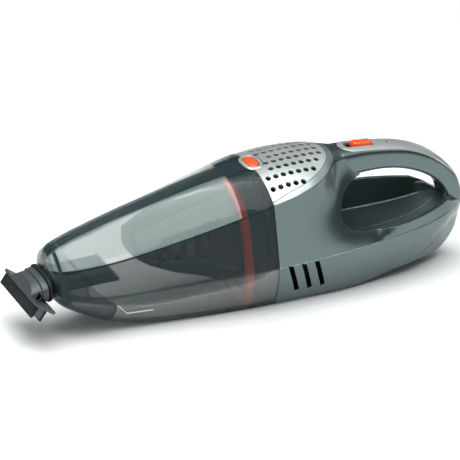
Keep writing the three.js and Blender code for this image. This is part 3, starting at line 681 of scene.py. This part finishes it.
def curve_through(points, t, closed=False):
    """A point on a smooth curve through all the points, t from 0 to 1"""
    count = len(points)
    p = (count if closed else count - 1) * t
    k = math.floor(p)
    weight = p - k
    if not closed and k >= count - 1:
        k, weight = count - 2, 1.0
    near = [Vector(points[(k + j) % count]) for j in (0, 1)]
    first = Vector(points[(k - 1) % count]) if closed or k > 0 else 2 * near[0] - near[1]
    last = Vector(points[(k + 2) % count]) if closed or k + 2 < count else 2 * near[1] - near[0]
    chain = [first, *near, last]
    gaps = [max((chain[j + 1] - chain[j]).length ** 0.5, 1e-4) for j in range(3)]
    before, middle, after = [(chain[j + 1] - chain[j]) / gaps[j] for j in range(3)]
    leave = before - (chain[2] - chain[0]) / (gaps[0] + gaps[1]) + middle
    arrive = middle - (chain[3] - chain[1]) / (gaps[1] + gaps[2]) + after
    leave, arrive = leave * gaps[1], arrive * gaps[1]
    w = weight
    return (
        chain[1] * (2 * w**3 - 3 * w**2 + 1) + leave * (w**3 - 2 * w**2 + w)
        + chain[2] * (3 * w**2 - 2 * w**3) + arrive * (w**3 - w**2)
    )


HANDLE_LINE = [(x, 0, z) for x, z, _, _ in HANDLE]
HANDLE_SIZES = [[k, row[2], row[3]] for k, row in enumerate(HANDLE)]


def handle_frame(t):
    """Centre, outward direction, half width and half thickness at t along the handle"""
    centre = curve_through(HANDLE_LINE, t)
    ahead = curve_through(HANDLE_LINE, min(t + 1e-4, 1))
    behind = curve_through(HANDLE_LINE, max(t - 1e-4, 0))
    tangent = (ahead - behind).normalized()
    half, thick = table_at(HANDLE_SIZES, t * (len(HANDLE) - 1))
    return centre, Vector((-tangent.z, 0, tangent.x)), half, thick


def on_handle(frame_at, y, up):
    centre, out, _, _ = frame_at
    point = centre + out * up
    return (point.x, y, point.z)


def handle_form(name, inset, start, end, steps):
    rings = []
    for t in spread(start, end, steps):
        here = handle_frame(t)
        a, b = here[2] - inset, here[3] - inset
        top, under = oval(a, b, TOP_SQUARE, 48), oval(a, b, UNDER_SQUARE, 48)
        rings.append([on_handle(here, *(top[k] if k <= 24 else under[k])) for k in range(48)])
    return loft(name, rings)


handle_steps = [(Vector(b) - Vector(a)).length for a, b in zip(HANDLE_LINE, HANDLE_LINE[1:])]
print("handle is", round(sum(handle_steps)), "mm long")

# %% [markdown]
# ## Finger hole and hand scoop
# The hole goes straight through under the handle. The scoop is a bowl in the housing's back that makes
# room for the knuckles. Both are cut from the outer form, and cut again one wall larger from the inside,
# so the shell keeps its thickness around them.

# %% Hole and scoop
HOLE = [
    [84.5, 60.4], [78, 65.4], [75.2, 72.8], [77.2, 80], [81.8, 87], [88, 92.2], [98, 95.8], [112, 97.3],
    [131, 96.9], [148, 93.6], [165, 87], [178, 78.5], [185.5, 70.5], [188.3, 64.6], [184, 62.8],
    [167, 60.3], [140, 58], [112, 56.6], [97, 57.4],
]
# x, half width, floor z, top z
SCOOP = [
    [82, 22, 58, 82], [85, 32, 48, 82], [92, 39, 41.5, 82], [104, 41, 39.2, 82], [112, 40.4, 39, 82],
    [120, 40.8, 39, 82],
    [145, 36.5, 41.5, 82], [165, 30, 46, 80], [178, 23, 51.5, 72.5], [185, 15, 57, 66], [187, 9, 60, 64.5],
]
FAR_RIM, FAR_RIM_Y = 66.5, 24


def grown(outline, wall):
    """A clockwise outline moved outwards"""
    return moved_in(outline, -wall)


def hole_form(name, wall):
    line = [curve_through([(x, z, 0) for x, z in HOLE], k / 110, True) for k in range(110)]
    hole = prism_y(name, grown([(p.x, p.y) for p in line], wall), -70, 70)
    return combine(hole, [block("far_rim", 60, 200, FAR_RIM_Y, 80, 0, FAR_RIM - wall)])


def scoop_form(name, wall):
    first = SCOOP[0][0]
    rings = []
    for x in [first, *spread(first, 104, 14)[1:], *spread(104, 187, 26)[1:]]:
        half, floor, top = table_at(SCOOP, x)
        w, f = half + wall, floor - wall
        side = [(0, top), (w, top), (w, f + 1.8), (w - 0.25, f + 0.8), (w - 0.9, f + 0.2), (w - 2, f), (0, f)]
        rings.append(station(x - wall if x == first else x, side + [(-y, z) for y, z in side[-2:0:-1]]))
    return loft(name, rings)


outer = combine(housing_form("outer", 0), [handle_form("grip", 0, 0, 1, 120)], "UNION")
combine(outer, [hole_form("hole", 0), scoop_form("scoop", 0)])
print(f"outer form: {volume(outer):.0f} ml")

# %% Inner form
WALL, HANDLE_WALL = 2.4, 3.6
inner = combine(housing_form("inner", WALL), [handle_form("grip", HANDLE_WALL, 0.02, 0.9, 60)], "UNION")
combine(inner, [hole_form("hole", WALL), scoop_form("scoop", WALL)])
print(f"inner form: {volume(inner):.0f} ml")

# %% [markdown]
# ## Top trim
# A perforated silver plate lets the motor's air out. It sits in a rim, and both follow the dome, so they
# are slices of the dome's own top skin. Their edges stand square to the surface, which is how the space
# for them is shaped: a loft that leans with the dome.

# %% Top trim
GAP = 0.3
JOINT_X, JOINT_SLOPE = 16.3, 0.1
RIM_EDGE = [[-8, 50.2], [22, 49.8], [41, 45.9], [56.5, 39.2], [67.7, 30], [75.6, 18.5], [77.8, 9], [78.5, 1]]
GRILLE_EDGE = [
    [-8, 48.2], [4.5, 48.2], [19.8, 46.2], [38.4, 42], [52.4, 35.5], [63.7, 26.5], [70.9, 15], [73, 7],
    [73.8, 1],
]


def behind_joint(offset):
    low, high = JOINT_X + offset + 20 * JOINT_SLOPE, JOINT_X + offset - 200 * JOINT_SLOPE
    return prism_y("behind_joint", [(low, -20), (400, -20), (400, 200), (high, 200)], -90, 90)


def trim_space(edge, grow):
    start, tip = edge[0][0], edge[-1][0]
    rings = []
    for x in spread(start, tip - 12, 36) + spread(tip - 11, tip - 3, 12) + spread(tip - 2.8, tip, 12):
        y = table_at(edge, x)[0] + grow
        z = top_z(x, y)
        fall = (top_z(x, y - 0.2) - z) / 0.2
        long = math.hypot(fall, 1)
        inner_edge, outer_edge = [(max(y + d * fall / long, 0.4), z + d / long) for d in (-8, 6)]
        half = [(0, 150), (outer_edge[0], 150), outer_edge, inner_edge, (0, inner_edge[1] - 0.5)]
        rings.append(station(x + grow if x == tip else x, half + [(-a, b) for a, b in half[-2:0:-1]]))
    return loft("trim_space", rings)


def top_skin(name, depth):
    return combine(housing_form(name, 0), [housing_form("under", depth)])


BUTTON = {"x": 7.6, "half_x": 4.9, "half_y": 10.9, "top": 121.9}
BEZEL_WIDE = 3.6


def around_button(grow, count=96):
    outline = oval(BUTTON["half_x"] + grow, BUTTON["half_y"] + grow, 2.8, count)
    return [(x + BUTTON["x"], y) for x, y in outline]


def bezel_space():
    return prism_z("bezel_space", around_button(BEZEL_WIDE + GAP), 90, 140)


print("top trim spaces ready")

# %% Vent grille
VENT_START, VENT_PITCH_X, VENT_PITCH_Y, VENT_R = 10.2, 7, 9.9, 2.4
VENT_ROWS = [(0, 2, 8), (1, 1, 8), (2, 1, 7), (3, 0, 6), (4, 0, 4)]


def vent_drills():
    drills = []
    for row, first, last in VENT_ROWS:
        for side in (1,) if row == 0 else (1, -1):
            for column in range(first, last + 1):
                x, y = VENT_START + VENT_PITCH_X * column, side * VENT_PITCH_Y * row
                z = top_z(x, y)
                drills.append(bar("drill", (x, y * 0.94, z - 8), (x, y * 1.05, z + 4), VENT_R, sides=24))
    return gathered("drills", drills)


grille = combine(top_skin("grille", 2), [trim_space(GRILLE_EDGE, -GAP / 2), behind_joint(GAP)], "INTERSECT")
combine(grille, [bezel_space(), vent_drills()])
show(grille, "vent_grille_skin", "housing", "silver", ["vent_grille"])

# %% Grille rim
rim = combine(top_skin("rim", 2), [trim_space(RIM_EDGE, -GAP / 2), behind_joint(GAP)], "INTERSECT")
combine(rim, [trim_space(GRILLE_EDGE, GAP / 2), bezel_space()])
show(rim, "grille_rim_skin", "housing", "rim_silver", ["grille_rim"])

# %% [markdown]
# ## Release button and its bezel
# The orange button lets the container go. It is a soft pillow: an oval that narrows near its top, with a
# crown so that the thumb finds it. The bezel is a half-round ring swept round the same oval, and stands
# proud of the grille.


# %% Release button and bezel
DOME_SLOPE = 0.09


def crowned(outline, z, radius):
    """The outline at height z, bent down towards its rim and leaning with the dome"""
    points = []
    for x, y in outline:
        along = x - BUTTON["x"]
        points.append((x, y, z + DOME_SLOPE * along - (along**2 + y**2) / (2 * radius)))
    return points


def pillow(name, levels, radius):
    return loft(name, [crowned(around_button(grow), z, radius) for grow, z in levels])


TOP = BUTTON["top"]
button_levels = [
    (0, 112.5), (0, TOP - 1.6), (-0.12, TOP - 0.9), (-0.45, TOP - 0.4), (-1, TOP - 0.1), (-1.8, TOP),
    (-3.2, TOP), (-4.6, TOP),
]
button = pillow("button", button_levels, 50)
show(button, "release_button_cap", "button", "orange", ["release_button"], 50)

ring_section = [
    (GAP, 114), (GAP, TOP - 1.2), (0.7, TOP - 0.5), (1.5, TOP - 0.2), (2.4, TOP - 0.2), (3.1, TOP - 0.5),
    (BEZEL_WIDE, TOP - 1), (BEZEL_WIDE, 114),
]
ring_levels = [crowned(around_button(grow), z, 110) for grow, z in ring_section]
bezel = loft("bezel", [[level[k] for level in ring_levels] for k in range(96)], closed=True)
show(bezel, "button_bezel_ring", "housing", "silver", ["button_bezel"], 40)

# %% [markdown]
# ## Handle strip, switch and lamp
# A silver strip is let into the top of the handle and narrows down the back. A recess in it holds the
# orange slide switch, whose ridges give the thumb a hold, and a small charge lamp sits behind.

# %% Handle strip
STRIP = {"from": 0.135, "to": 0.83, "half": 12, "proud": 0.5, "deep": 1.7, "nose": 0.075}


def strip_half(t):
    nose = min(1, (t - STRIP["from"]) / STRIP["nose"])
    rear = max(0, (t - 0.62) / (STRIP["to"] - 0.62))
    return STRIP["half"] * math.sqrt(max(0.02, nose * (2 - nose))) * (1 - 0.42 * rear * rear)


def strip_form(name, grow, proud, deep):
    stations = spread(STRIP["from"], STRIP["from"] + STRIP["nose"], 22)
    stations += spread(STRIP["from"] + 0.08, STRIP["to"], 90)
    rings = []
    for t in stations:
        here = handle_frame(t)
        half, thick = here[2], here[3]
        wide = strip_half(t) + grow

        def skin(y):
            return thick * (1 - abs(y / half) ** TOP_SQUARE) ** (1 / TOP_SQUARE)

        edge = min(0.5, wide * 0.2)
        inner_part = [f * wide for f in (-0.8, -0.55, -0.3, 0, 0.3, 0.55, 0.8)]
        across = [-wide, -wide + edge] + inner_part + [wide - edge, wide]
        lift = [proud - 0.35] + [proud] * (len(across) - 2) + [proud - 0.35]
        over = [(y, skin(y) + up) for y, up in zip(across, lift)]
        under = [(y, skin(y) - deep) for y in reversed(across)]
        rings.append([on_handle(here, y, up) for y, up in over + under])
    return loft(name, rings)


SWITCH_X, LIGHT_X = 108.4, 136.5
SWITCH_SLOT = [(x + SWITCH_X, y) for x, y in oval(13.2, 5.6, 5, 72)]


def switch_space():
    return prism_z("switch_space", SWITCH_SLOT, 112, 130)


def light_space():
    return bar("light_space", (LIGHT_X, 0, 105), (LIGHT_X, 0, 130), 1.5)


strip = combine(strip_form("strip", 0, STRIP["proud"], STRIP["deep"]), [switch_space(), light_space()])
show(strip, "handle_strip_skin", "housing", "silver", ["handle_strip"])

# %% Power switch
KNOB = {"x": 111.4, "half": 5.3, "top": 122.6, "slope": 0.075}
RIDGE_FROM, RIDGE_TO, RIDGE_PITCH = 106, 117, 2.2


def knob_top(x):
    """The knob's top line, with five ridges across its middle"""
    z = KNOB["top"] - (x - RIDGE_FROM) * KNOB["slope"]
    ends = 1.6 * max(0, (104 - x) / 2.5) ** 2 + 1.4 * max(0, (x - 118.8) / 2.5) ** 2
    if not RIDGE_FROM < x < RIDGE_TO:
        return z - ends
    return z - ends - 0.32 * (1 - math.cos(2 * math.pi * (x - RIDGE_FROM) / RIDGE_PITCH))


def knob_level(grow, lift):
    ring = []
    for x, y in oval(9.9 + grow, KNOB["half"] + grow, 3.4, 120):
        z = knob_top(x + KNOB["x"]) + lift if lift is not None else 117.5 - (x + 10) * 0.06
        ring.append((x + KNOB["x"], y, z))
    return ring


# how far each ring moves in, and how far below the top line it lies; the first lies on the knob's foot
knob_rows = [
    (0, None), (0, -2.2), (-0.15, -1.3), (-0.5, -0.6), (-1.0, -0.2), (-1.6, 0), (-2.4, 0.05), (-3.2, 0.1),
    (-4.2, 0.1), (-5.1, 0.1),
]
knob = loft("knob", [knob_level(grow, lift) for grow, lift in knob_rows])
show(knob, "power_switch_knob", "switch", "orange", ["power_switch"], 45)

well = prism_y("well", [(90, 115.2), (90, 116.8), (125, 114.2), (125, 112.8)], -20, 20)
well_outline = [(x + SWITCH_X, y) for x, y in oval(12.8, 5.2, 5, 72)]
combine(well, [prism_z("well_outline", well_outline, 100, 130)], "INTERSECT")
show(well, "switch_well", "housing", "dark_red", ["switch_plate"])

# %% Charge lamp
lamp_rings = []
lamp_angles = spread(0, 2 * math.pi, 32)[:-1]
for r, z in ((1.2, 108.5), (1.2, 115.4), (1.0, 115.8), (0.6, 115.95), (0.2, 116.0)):
    lamp_rings.append([(LIGHT_X + r * math.cos(a), r * math.sin(a), z) for a in lamp_angles])
show(loft("lamp", lamp_rings), "charge_lamp_lens", "housing", "lamp", ["charge_light"], 50)

# %% [markdown]
# ## Housing halves
# The housing is two mouldings that meet along the middle, held by screws in bosses. The shell is the
# outer form less the inner form, plus the bosses, less every recess. Splitting it last gives the fine
# seam line down the back of the handle.

# %% Housing halves
SCREWS = [[25, 12], [58, 100], [134, 26], [171, 37], [84, 103.5], [176, 89.5]]
SLOT_STARTS = (22.5, 34.8, 47.1)


def side_slots():
    slots = []
    for x in SLOT_STARTS:
        corners = [(x - 2.5, 42), (x + 2.3, 41.2), (x + 12.6, 13.4), (x + 8.4, 12.4)]
        slots.append(prism_y("slot", corners, -60, 60))
    return gathered("slots", slots)


bosses = gathered("bosses", [bar("boss", (x, -60, z), (x, 60, z), 3.6) for x, z in SCREWS])
combine(bosses, [outer], "INTERSECT", keep=True)
shell = combine(outer, [inner])
combine(shell, [bosses], "UNION")
wells = gathered("wells", [bar("well", (x, 8, z), (x, 60, z), 3.1) for x, z in SCREWS])
pilots = gathered("pilots", [bar("pilot", (x, -10, z), (x, 7.9, z), 1.7, sides=16) for x, z in SCREWS])
contacts = gathered("contacts", [block("contact", 96, 108, y - 2.3, y + 2.3, -5, 9) for y in (-9, 9)])
combine(shell, [
    trim_space(RIM_EDGE, GAP / 2), bezel_space(), strip_form("strip_bed", GAP, 4, STRIP["deep"] + GAP),
    switch_space(), light_space(), side_slots(), contacts, pilots, wells,
])
combine(shell, [behind_joint(GAP / 2)], "INTERSECT")
right = copy_of(shell, "right")
combine(shell, [block("near", -20, 230, -90, -GAP / 2, -20, 160)], "INTERSECT")
combine(right, [block("far", -20, 230, GAP / 2, 90, -20, 160)], "INTERSECT")
show(shell, "housing_shell_left", "housing", "gunmetal", ["housing_left"], 17)
show(right, "housing_shell_right", "housing", "gunmetal", ["housing_right"], 17)

# %% [markdown]
# ## Clear container and nose
# The container is one long clear moulding with a separate nose that meets it along a slanted seam. Its
# section has a narrow flat on top, a full shoulder, an almost upright side and a tucked belly. A number
# stored on each face tells the smoke finish how dark the plastic is there, and it carries painted light:
# dark painted shade on the creases, cut edges and underside, and a pale painted reflection on the upper
# shoulder.


# %% Container form
def container_half(x):
    yt, zt, yu, zu, yl, zl, yb, zb, fullness = table_at(CONTAINER, x)
    upper = [(yt + (yu - yt) * f, zt - (zt - zu) * f**fullness) for f in spread(0, 1, 12)[1:]]
    side = facet((yu, zu), (yl, zl), 0.8, 6)
    belly = facet((yl, zl), (yb, zb), 2, 6)
    return [(0, zt + 0.3), (yt, zt)] + upper + side + belly + [(0, zb)]


NOSE_X, CLEAR_WALL = -181, 2.2
CORNERS = (1, 13, 19, 25)
CONTAINER_STATIONS = [-180.6, -180, -179.3, -178.5, -177.3, -176, -173.5] + spread(-171, 24, 78)


def container_form(name, inset):
    front = NOSE_X + (0 if inset == 0 else inset + 0.6)
    stations = [front] + [x for x in CONTAINER_STATIONS if x > front + 0.5]
    rings = [moved_in(whole_ring(container_half(x), CORNERS, 0.9), inset) for x in stations]
    return loft(name, [station(x, ring) for x, ring in zip(stations, rings)])


DUCT = {"front": -181.4, "half": 17.4, "high": 9.4, "wall": 1.7}


def duct_z(x):
    return 45.8 + 0.028 * (x - DUCT["front"])


def oval_bar(name, x0, x1, a, b, z0, z1, squareness=2.6, count=64):
    ends = ((x0, z0), (x1, z1))
    return loft(name, [[(x, y, z + up) for y, up in oval(a, b, squareness, count)] for x, z in ends])


def duct_bar(x0, x1, inset):
    return oval_bar("duct", x0, x1, DUCT["half"] - inset, DUCT["high"] - inset, duct_z(x0), duct_z(x1))


clear = combine(container_form("clear", 0), [container_form("hollow", CLEAR_WALL)])
combine(clear, [behind_joint(-GAP / 2), duct_bar(-200, -160, -GAP)])
print(f"clear shell: {volume(clear):.1f} ml")

# %% Tint and seam
NOSE_SEAM = [
    [-173.6, 95], [-172.5, 82], [-163, 66.5], [-152.3, 51.5], [-141.2, 39.8], [-132.5, 31.2], [-129.6, 25.5],
    [-130.6, 17], [-134.4, 9.5], [-141, 0], [-141, -8], [-215, -8], [-215, 95],
]
# how dark each band is: the smoke tint, with painted shade in line (creases and cut edges) and bottom; upper
# is low enough to take the pale painted reflection
TINT_AND_PAINTED_LIGHT = {"strip": 0.8, "upper": 0.24, "rear": 0.42, "line": 0.9, "side": 0.42, "belly": 0.32, "bottom": 0.88}
NOSE_TINT = 0.56


def seam_space(shift):
    return prism_y("seam_space", [(x + shift, z) for x, z in NOSE_SEAM], -80, 80)


def store_tint_and_painted_light(thing, is_nose):
    """Stores the smoke tint on every face, with painted shade on creases, cut edges and underside and a low
    value on the upper shoulder for its pale painted reflection, from where the face lies on the section
    """
    values = []
    for face in thing.data.polygons:
        x, y, z = (c / MM for c in face.center)
        yt, zt, yu, zu, yl, zl, yb, zb, _ = table_at(CONTAINER, x)
        # creases and cut edges get a dark band of painted shade
        on_crease = abs(z - zu) < 0.8 and abs(y) > yu - 2
        on_cut = abs(face.normal.x) > 0.45 and x > -176
        if on_crease or on_cut:
            band = "line"
        elif abs(y) < yt + 0.6 and z > zu:
            band = "strip"
        elif z > zu:
            band = "upper" if x < -21 else "rear"
        elif z > zb + 0.8:
            band = "side" if z > zl else "belly"
        # the underside gets a dark band of painted shade
        else:
            band = "bottom"
        values.append(NOSE_TINT if is_nose and band in ("side", "belly") else TINT_AND_PAINTED_LIGHT[band])
    thing.data.attributes.new("tint_and_painted_light", "FLOAT", "FACE").data.foreach_set("value", values)


nose = combine(copy_of(clear, "nose"), [seam_space(0)], "INTERSECT")
combine(clear, [seam_space(GAP), prism_z("bezel_room", around_button(BEZEL_WIDE + 0.6), 100, 140)])
clear_skins = [(nose, "clear_nose", "container_nose"), (clear, "clear_container", "dust_container")]
for thing, name, node in clear_skins:
    store_tint_and_painted_light(thing, thing is nose)
    show(thing, name, "container", "smoke_clear", [node], 22)

# %% [markdown]
# ## Intake duct and flap
# Air and dirt come in through a flat duct. A flap hangs on its slanted end and falls shut when the fan
# stops, so the dirt stays in. The flap is a thin dished plate.

# %% Intake duct and flap
FLAP_TOP, FLAP_BOTTOM = Vector((-132, 0, 58.5)), Vector((-116.5, 0, 37.5))
duct = combine(duct_bar(DUCT["front"], -110, 0), [duct_bar(-190, -100, DUCT["wall"])])
duct_end = [(-133, 70), (-132, 58.5), (-116.5, 37.5), (-116, 30), (-60, 30), (-60, 70)]
combine(duct, [prism_y("duct_end", duct_end, -40, 40)])
show(duct, "intake_duct_tube", "container", "dark_plastic", ["intake_duct"])

down = (FLAP_BOTTOM - FLAP_TOP).normalized()
outward = Vector((-down.z, 0, down.x))
plate_levels = [(1, 0.3), (1, 1.1), (0.95, 1.45), (0.85, 1.5), (0.8, 1.2), (0.4, 1.1), (0.05, 1.1)]


def flap_ring(scale, out):
    ring = []
    for along, y in oval(12.4 * scale, 16.8 * scale, 2.6, 64):
        point = FLAP_TOP + down * (along + 12.6) + outward * out
        ring.append((point.x, y, point.z))
    return ring


flap = loft("flap", [flap_ring(scale, out) for scale, out in plate_levels])
show(flap, "duct_flap_plate", "flap", "grey_plastic", ["duct_flap"], 40)

# %% [markdown]
# ## Filter and its seal
# A dark frame closes the back of the container with an orange seal round it. In front of it a tapering cage
# with slots guards the pleated cloth.

# %% Filter and seal
# x, half width, underside z, top z
CAGE = [
    [-106, 12, 60, 74], [-104, 18, 57, 79], [-92, 24, 49, 84], [-70, 28.5, 39.5, 92], [-44, 33, 32, 101],
    [-26, 37, 24, 106], [-6, 38, 22, 106],
]


def cage_form(name, inset):
    rings = []
    for k, (x, half, low, high) in enumerate(CAGE):
        middle = (low + high) / 2
        a, b = half - inset, (high - low) / 2 - inset
        cut_y, cut_z = a * 0.42, b * 0.42
        side = [(a, b - cut_z), (a - cut_y, b), (cut_y - a, b), (-a, b - cut_z)]
        ring = side + [(y, -up) for y, up in reversed(side)]
        rings.append([(x + inset if k == 0 else x, y, middle + up) for y, up in ring])
    return loft(name, rings)


def slice_between(front, rear):
    return combine(behind_joint(front), [behind_joint(rear)])


def inside_form(name, inset, front, rear):
    return combine(container_form(name, inset), [slice_between(front, rear)], "INTERSECT")


seal = combine(inside_form("seal", 3, -28, -22), [container_form("bore", 8.5)])
show(seal, "orange_seal_ring", "filter", "orange_seal", ["seal_ring"])
carrier = combine(inside_form("carrier", 3.4, -21.7, -9), [cage_form("cage_space", -GAP)])
show(carrier, "filter_carrier", "filter", "dark_plastic", ["filter_frame"])

windows = []
for x in (-88, -76, -64, -52):
    for y0, y1 in ((-60, -20), (20, 60)):
        windows.append(block("window", x, x + 7, y0, y1, 56, 78))
cage = cage_form("cage", 0)
combine(cage, [cage_form("cage_hollow", 1.6), behind_joint(-12), gathered("windows", windows)])
show(cage, "filter_cage_shell", "filter", "dark_plastic", ["filter_cage"])

# %% Pleated cloth
def pleat_ring(x, half_y, half_z):
    ring = []
    for k in range(192):
        angle = 2 * math.pi * k / 192
        deep = 0.87 + 0.13 * math.cos(24 * angle)
        ring.append((x, deep * half_y * math.cos(angle), 67 + deep * half_z * math.sin(angle)))
    return ring


pleat_rows = [(-76, 20, 18), (-62, 22, 20.5), (-40, 25.2, 24.4), (-20, 28, 28)]
pleats = loft("pleats", [pleat_ring(x, a, b) for x, a, b in pleat_rows])
combine(pleats, [oval_bar("core", -70, 0, 9, 9, 67, 67, 2)])
show(pleats, "filter_cloth_pleats", "filter", "filter_cloth", ["filter_pleats"], 60)

# %% [markdown]
# ## Squeegee nozzle
# The nozzle plugs into the nose and ends in a slanted head with a rubber blade in front and a lip behind.
# A black seal closes the joint. The collar and neck are soft ovals, and the head is built square to its
# own plate, so all its blocks are given in the plate's own directions.

# %% Nozzle neck
LIP_HALF = 35.9


def neck_z(x):
    return 45 + 0.148 * (x + 182)


def neck_bar(name, x0, x1, a, b):
    return oval_bar(name, x0, x1, a, b, neck_z(x0), neck_z(x1), 2.8)


def neck_loft(name, rows):
    rings = [[(x, y, neck_z(x) + up) for y, up in oval(a, b, 2.8, 72)] for x, a, b in rows]
    return loft(name, rings)


def spigot(x0, x1, inset):
    return duct_bar(x0, x1, DUCT["wall"] + 0.4 + inset)


HEAD_X, HEAD_Z, OUT_X, OUT_Z = -201.05, 42.6, -0.578, -0.816


def head_point(w, u):
    """w along the plate from its upper end, u out towards the floor"""
    return (HEAD_X - OUT_Z * w + OUT_X * u, HEAD_Z + OUT_X * w + OUT_Z * u)


def head_block(name, w0, w1, u0, u1, half):
    corners = [head_point(w0, u0), head_point(w0, u1), head_point(w1, u1), head_point(w1, u0)]
    return prism_y(name, corners, -half, half)


PLATE_FROM, PLATE_TO, PLATE_THICK = -1.6, 18.2, 2.5
mouth_rows = [
    (-184.6, 23.6, 11.0), (-184.3, 24.1, 11.5), (-183.9, 24.2, 11.6), (-182.4, 24.2, 11.6),
    (-181.8, 23.9, 11.3),
]
mouth = combine(neck_loft("mouth", mouth_rows), [spigot(-187, -178, -GAP)])
show(mouth, "mouth_seal_band", "container", "black_rubber", ["mouth_seal"], 50)

collar_rows = [
    (-190.4, 22.8, 9.3), (-190.1, 23.2, 9.7), (-189.6, 23.4, 9.9), (-185.5, 23.4, 9.9), (-184.9, 23, 9.5),
]
collar = combine(neck_loft("collar", collar_rows), [spigot(-188, -162, 0)], "UNION")
combine(collar, [head_block("behind_plate", PLATE_FROM, 60, -60, -PLATE_THICK - GAP, 60)], "INTERSECT")
combine(collar, [spigot(-200, -150, 1.6)])
show(collar, "nozzle_collar_ring", "nozzle", "nozzle_plastic", ["nozzle_collar"], 40)

# %% Nozzle head
neck = neck_bar("neck", -212, -190.7, 22, 8.7)
combine(neck, [head_block("neck_end", PLATE_FROM, 60, -60, -1, 60)], "INTERSECT")
throat = neck_bar("throat", -212, -189, 19.8, 6.5)
combine(throat, [head_block("throat_end", PLATE_FROM, 60, -60, -PLATE_THICK, 60)], "INTERSECT")
combine(throat, [head_block("throat_side", 0.8, 60, -60, 0, 60)], "INTERSECT")
head = combine(neck, [
    head_block("plate", PLATE_FROM, PLATE_TO, -PLATE_THICK, 0, 37),
    head_block("foot", 2.5, 8.9, -0.5, 8.4, LIP_HALF),
], "UNION")
combine(head, [throat, head_block("slot", 3.6, 7.9, -9, 12, 31)])
show(head, "nozzle_head", "nozzle", "nozzle_plastic", ["nozzle_body"])


# %% [markdown]
# The blade and lip are soft rubber. The blade has a row of shallow flutes along its working edge, so that
# air still passes when it lies flat on a wet floor.

# %% Squeegee
def blade(name, w0, w1, depth, flutes):
    rubber = head_block(name, w0, w1, GAP, depth, LIP_HALF)
    notches = []
    for k in range(flutes):
        y = -LIP_HALF + (k + 0.5) * 2 * LIP_HALF / flutes
        (x0, z0), (x1, z1) = head_point(w0 - 1, depth), head_point(w1 + 1, depth)
        notches.append(bar("notch", (x0, y, z0), (x1, y, z1), 0.7, sides=16))
    return combine(rubber, [gathered("notches", notches)])


show(blade("front", 0, 2.2, 10.5, 15), "squeegee_blade_front", "nozzle", "black_rubber", ["squeegee_front"])
show(blade("rear", 9.2, 11, 10.2, 15), "squeegee_lip_rear", "nozzle", "black_rubber", ["squeegee_rear"])

# %% [markdown]
# ## Level mark
# A thin printed line near the nose shows how full the container may get. It is a ribbon a tenth of a
# millimetre proud of the clear wall, with no lettering.


# %% Level mark
def side_y(x, z):
    """Half width of the container at a height"""
    half = container_half(x)
    for (y0, z0), (y1, z1) in zip(half[1:], half[2:]):
        if z1 <= z <= z0:
            return y0 + (y1 - y0) * (z0 - z) / max(z0 - z1, 1e-6)
    return half[-2][0]


MARK_LINE = [(-128.5, 28), (-120, 18), (-97, 18.3)]
mark_points = []
for (x0, z0), (x1, z1) in zip(MARK_LINE, MARK_LINE[1:]):
    mark_points += [(x0 + (x1 - x0) * t, z0 + (z1 - z0) * t) for t in spread(0, 1, 20)]
# the ribbon's four edges: how far up from its middle, and how far out from the wall
MARK_EDGES = [(-0.4, -0.05), (0.4, -0.05), (0.4, 0.12), (-0.4, 0.12)]
mark_rings = []
for x, z in mark_points:
    y = side_y(x, z)
    mark_rings.append([(x, -(y + lift), z + up) for up, lift in MARK_EDGES])
mark = loft("mark", mark_rings)
FINISH["print_white"] = moulded("printed_white", tone(236, 240, 239), 0.5, worn=0.1)
show(mark, "level_mark", "container", "print_white", [], 60)

# %% [markdown]
# ## Carried-over parts
# The screws, motor, fan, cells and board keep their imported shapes: they sit behind slots and in wells, and
# their shape is already right. Each gets the finish of its own material slot.

# %% Carried-over parts
carried = 0
for entry in frame["record"]["subparts"]:
    node = frame["nodes"][entry["node"]]
    if not node.hide_render:
        for place in node.material_slots:
            place.material = FINISH[entry["material_slot"]]
        carried += 1
print(carried, "packed parts carried over")

# %% [markdown]
# ## Floor and light
# A pale floor and a large soft light overhead give the even, bright look of a studio table. The overhead
# light is long, so its reflection lies along the container and the strip. A weaker light from the front
# opens the near side. The sky is almost black at the horizon and bright overhead, so that upright paint stays
# deep while the tops stay light.

# %% Floor and light
floor = prism_z("floor", [(-6000, -6000), (6000, -6000), (6000, 6000), (-6000, 6000)], -22, -0.4)
pale = Finish("pale_floor")
mottle = pale.noise(40.0, 3.0)
pale_colour = pale.mix(mottle, tone(240, 240, 240), tone(244, 244, 244))
floor_inputs = {"Base Color": pale_colour, "Roughness": 0.6 + mottle * 0.05}
floor.data.materials.append(pale.finish(pale.principled(floor_inputs)))


def softbox(name, place, aim, size, watts):
    light = bpy.data.lights.new(name, "AREA")
    light.shape = "RECTANGLE"
    light.size, light.size_y = size
    light.energy = watts
    made = bpy.data.objects.new(name, light)
    made.location = place
    made.rotation_euler = (Vector(aim) - Vector(place)).to_track_quat("-Z", "Y").to_euler()
    bpy.context.scene.collection.objects.link(made)


softbox("overhead", (-0.15, -0.1, 1.5), (0, 0, 0.05), (2.2, 1.3), 36)
softbox("front", (-2.2, -1.2, 0.8), (0, 0, 0.05), (0.5, 0.9), 12)

# %% Sky
world = bpy.data.worlds.new("studio")
bpy.context.scene.world = world
world.use_nodes = True
sky = world.node_tree
look = sky.nodes.new("ShaderNodeTexCoord")
split = sky.nodes.new("ShaderNodeSeparateXYZ")
fade = sky.nodes.new("ShaderNodeMapRange")
fade.interpolation_type = "SMOOTHSTEP"
for key, value in {"From Min": 0.3, "From Max": 0.95, "To Min": 0.05, "To Max": 0.75}.items():
    fade.inputs[key].default_value = value
sky.links.new(look.outputs["Generated"], split.inputs[0])
sky.links.new(split.outputs["Z"], fade.inputs["Value"])
sky.links.new(fade.outputs[0], sky.nodes["Background"].inputs["Strength"])
sky.nodes["Background"].inputs["Color"].default_value = (0.9, 0.96, 0.96, 1)
print("floor and lights ready")

# %% json module
import json
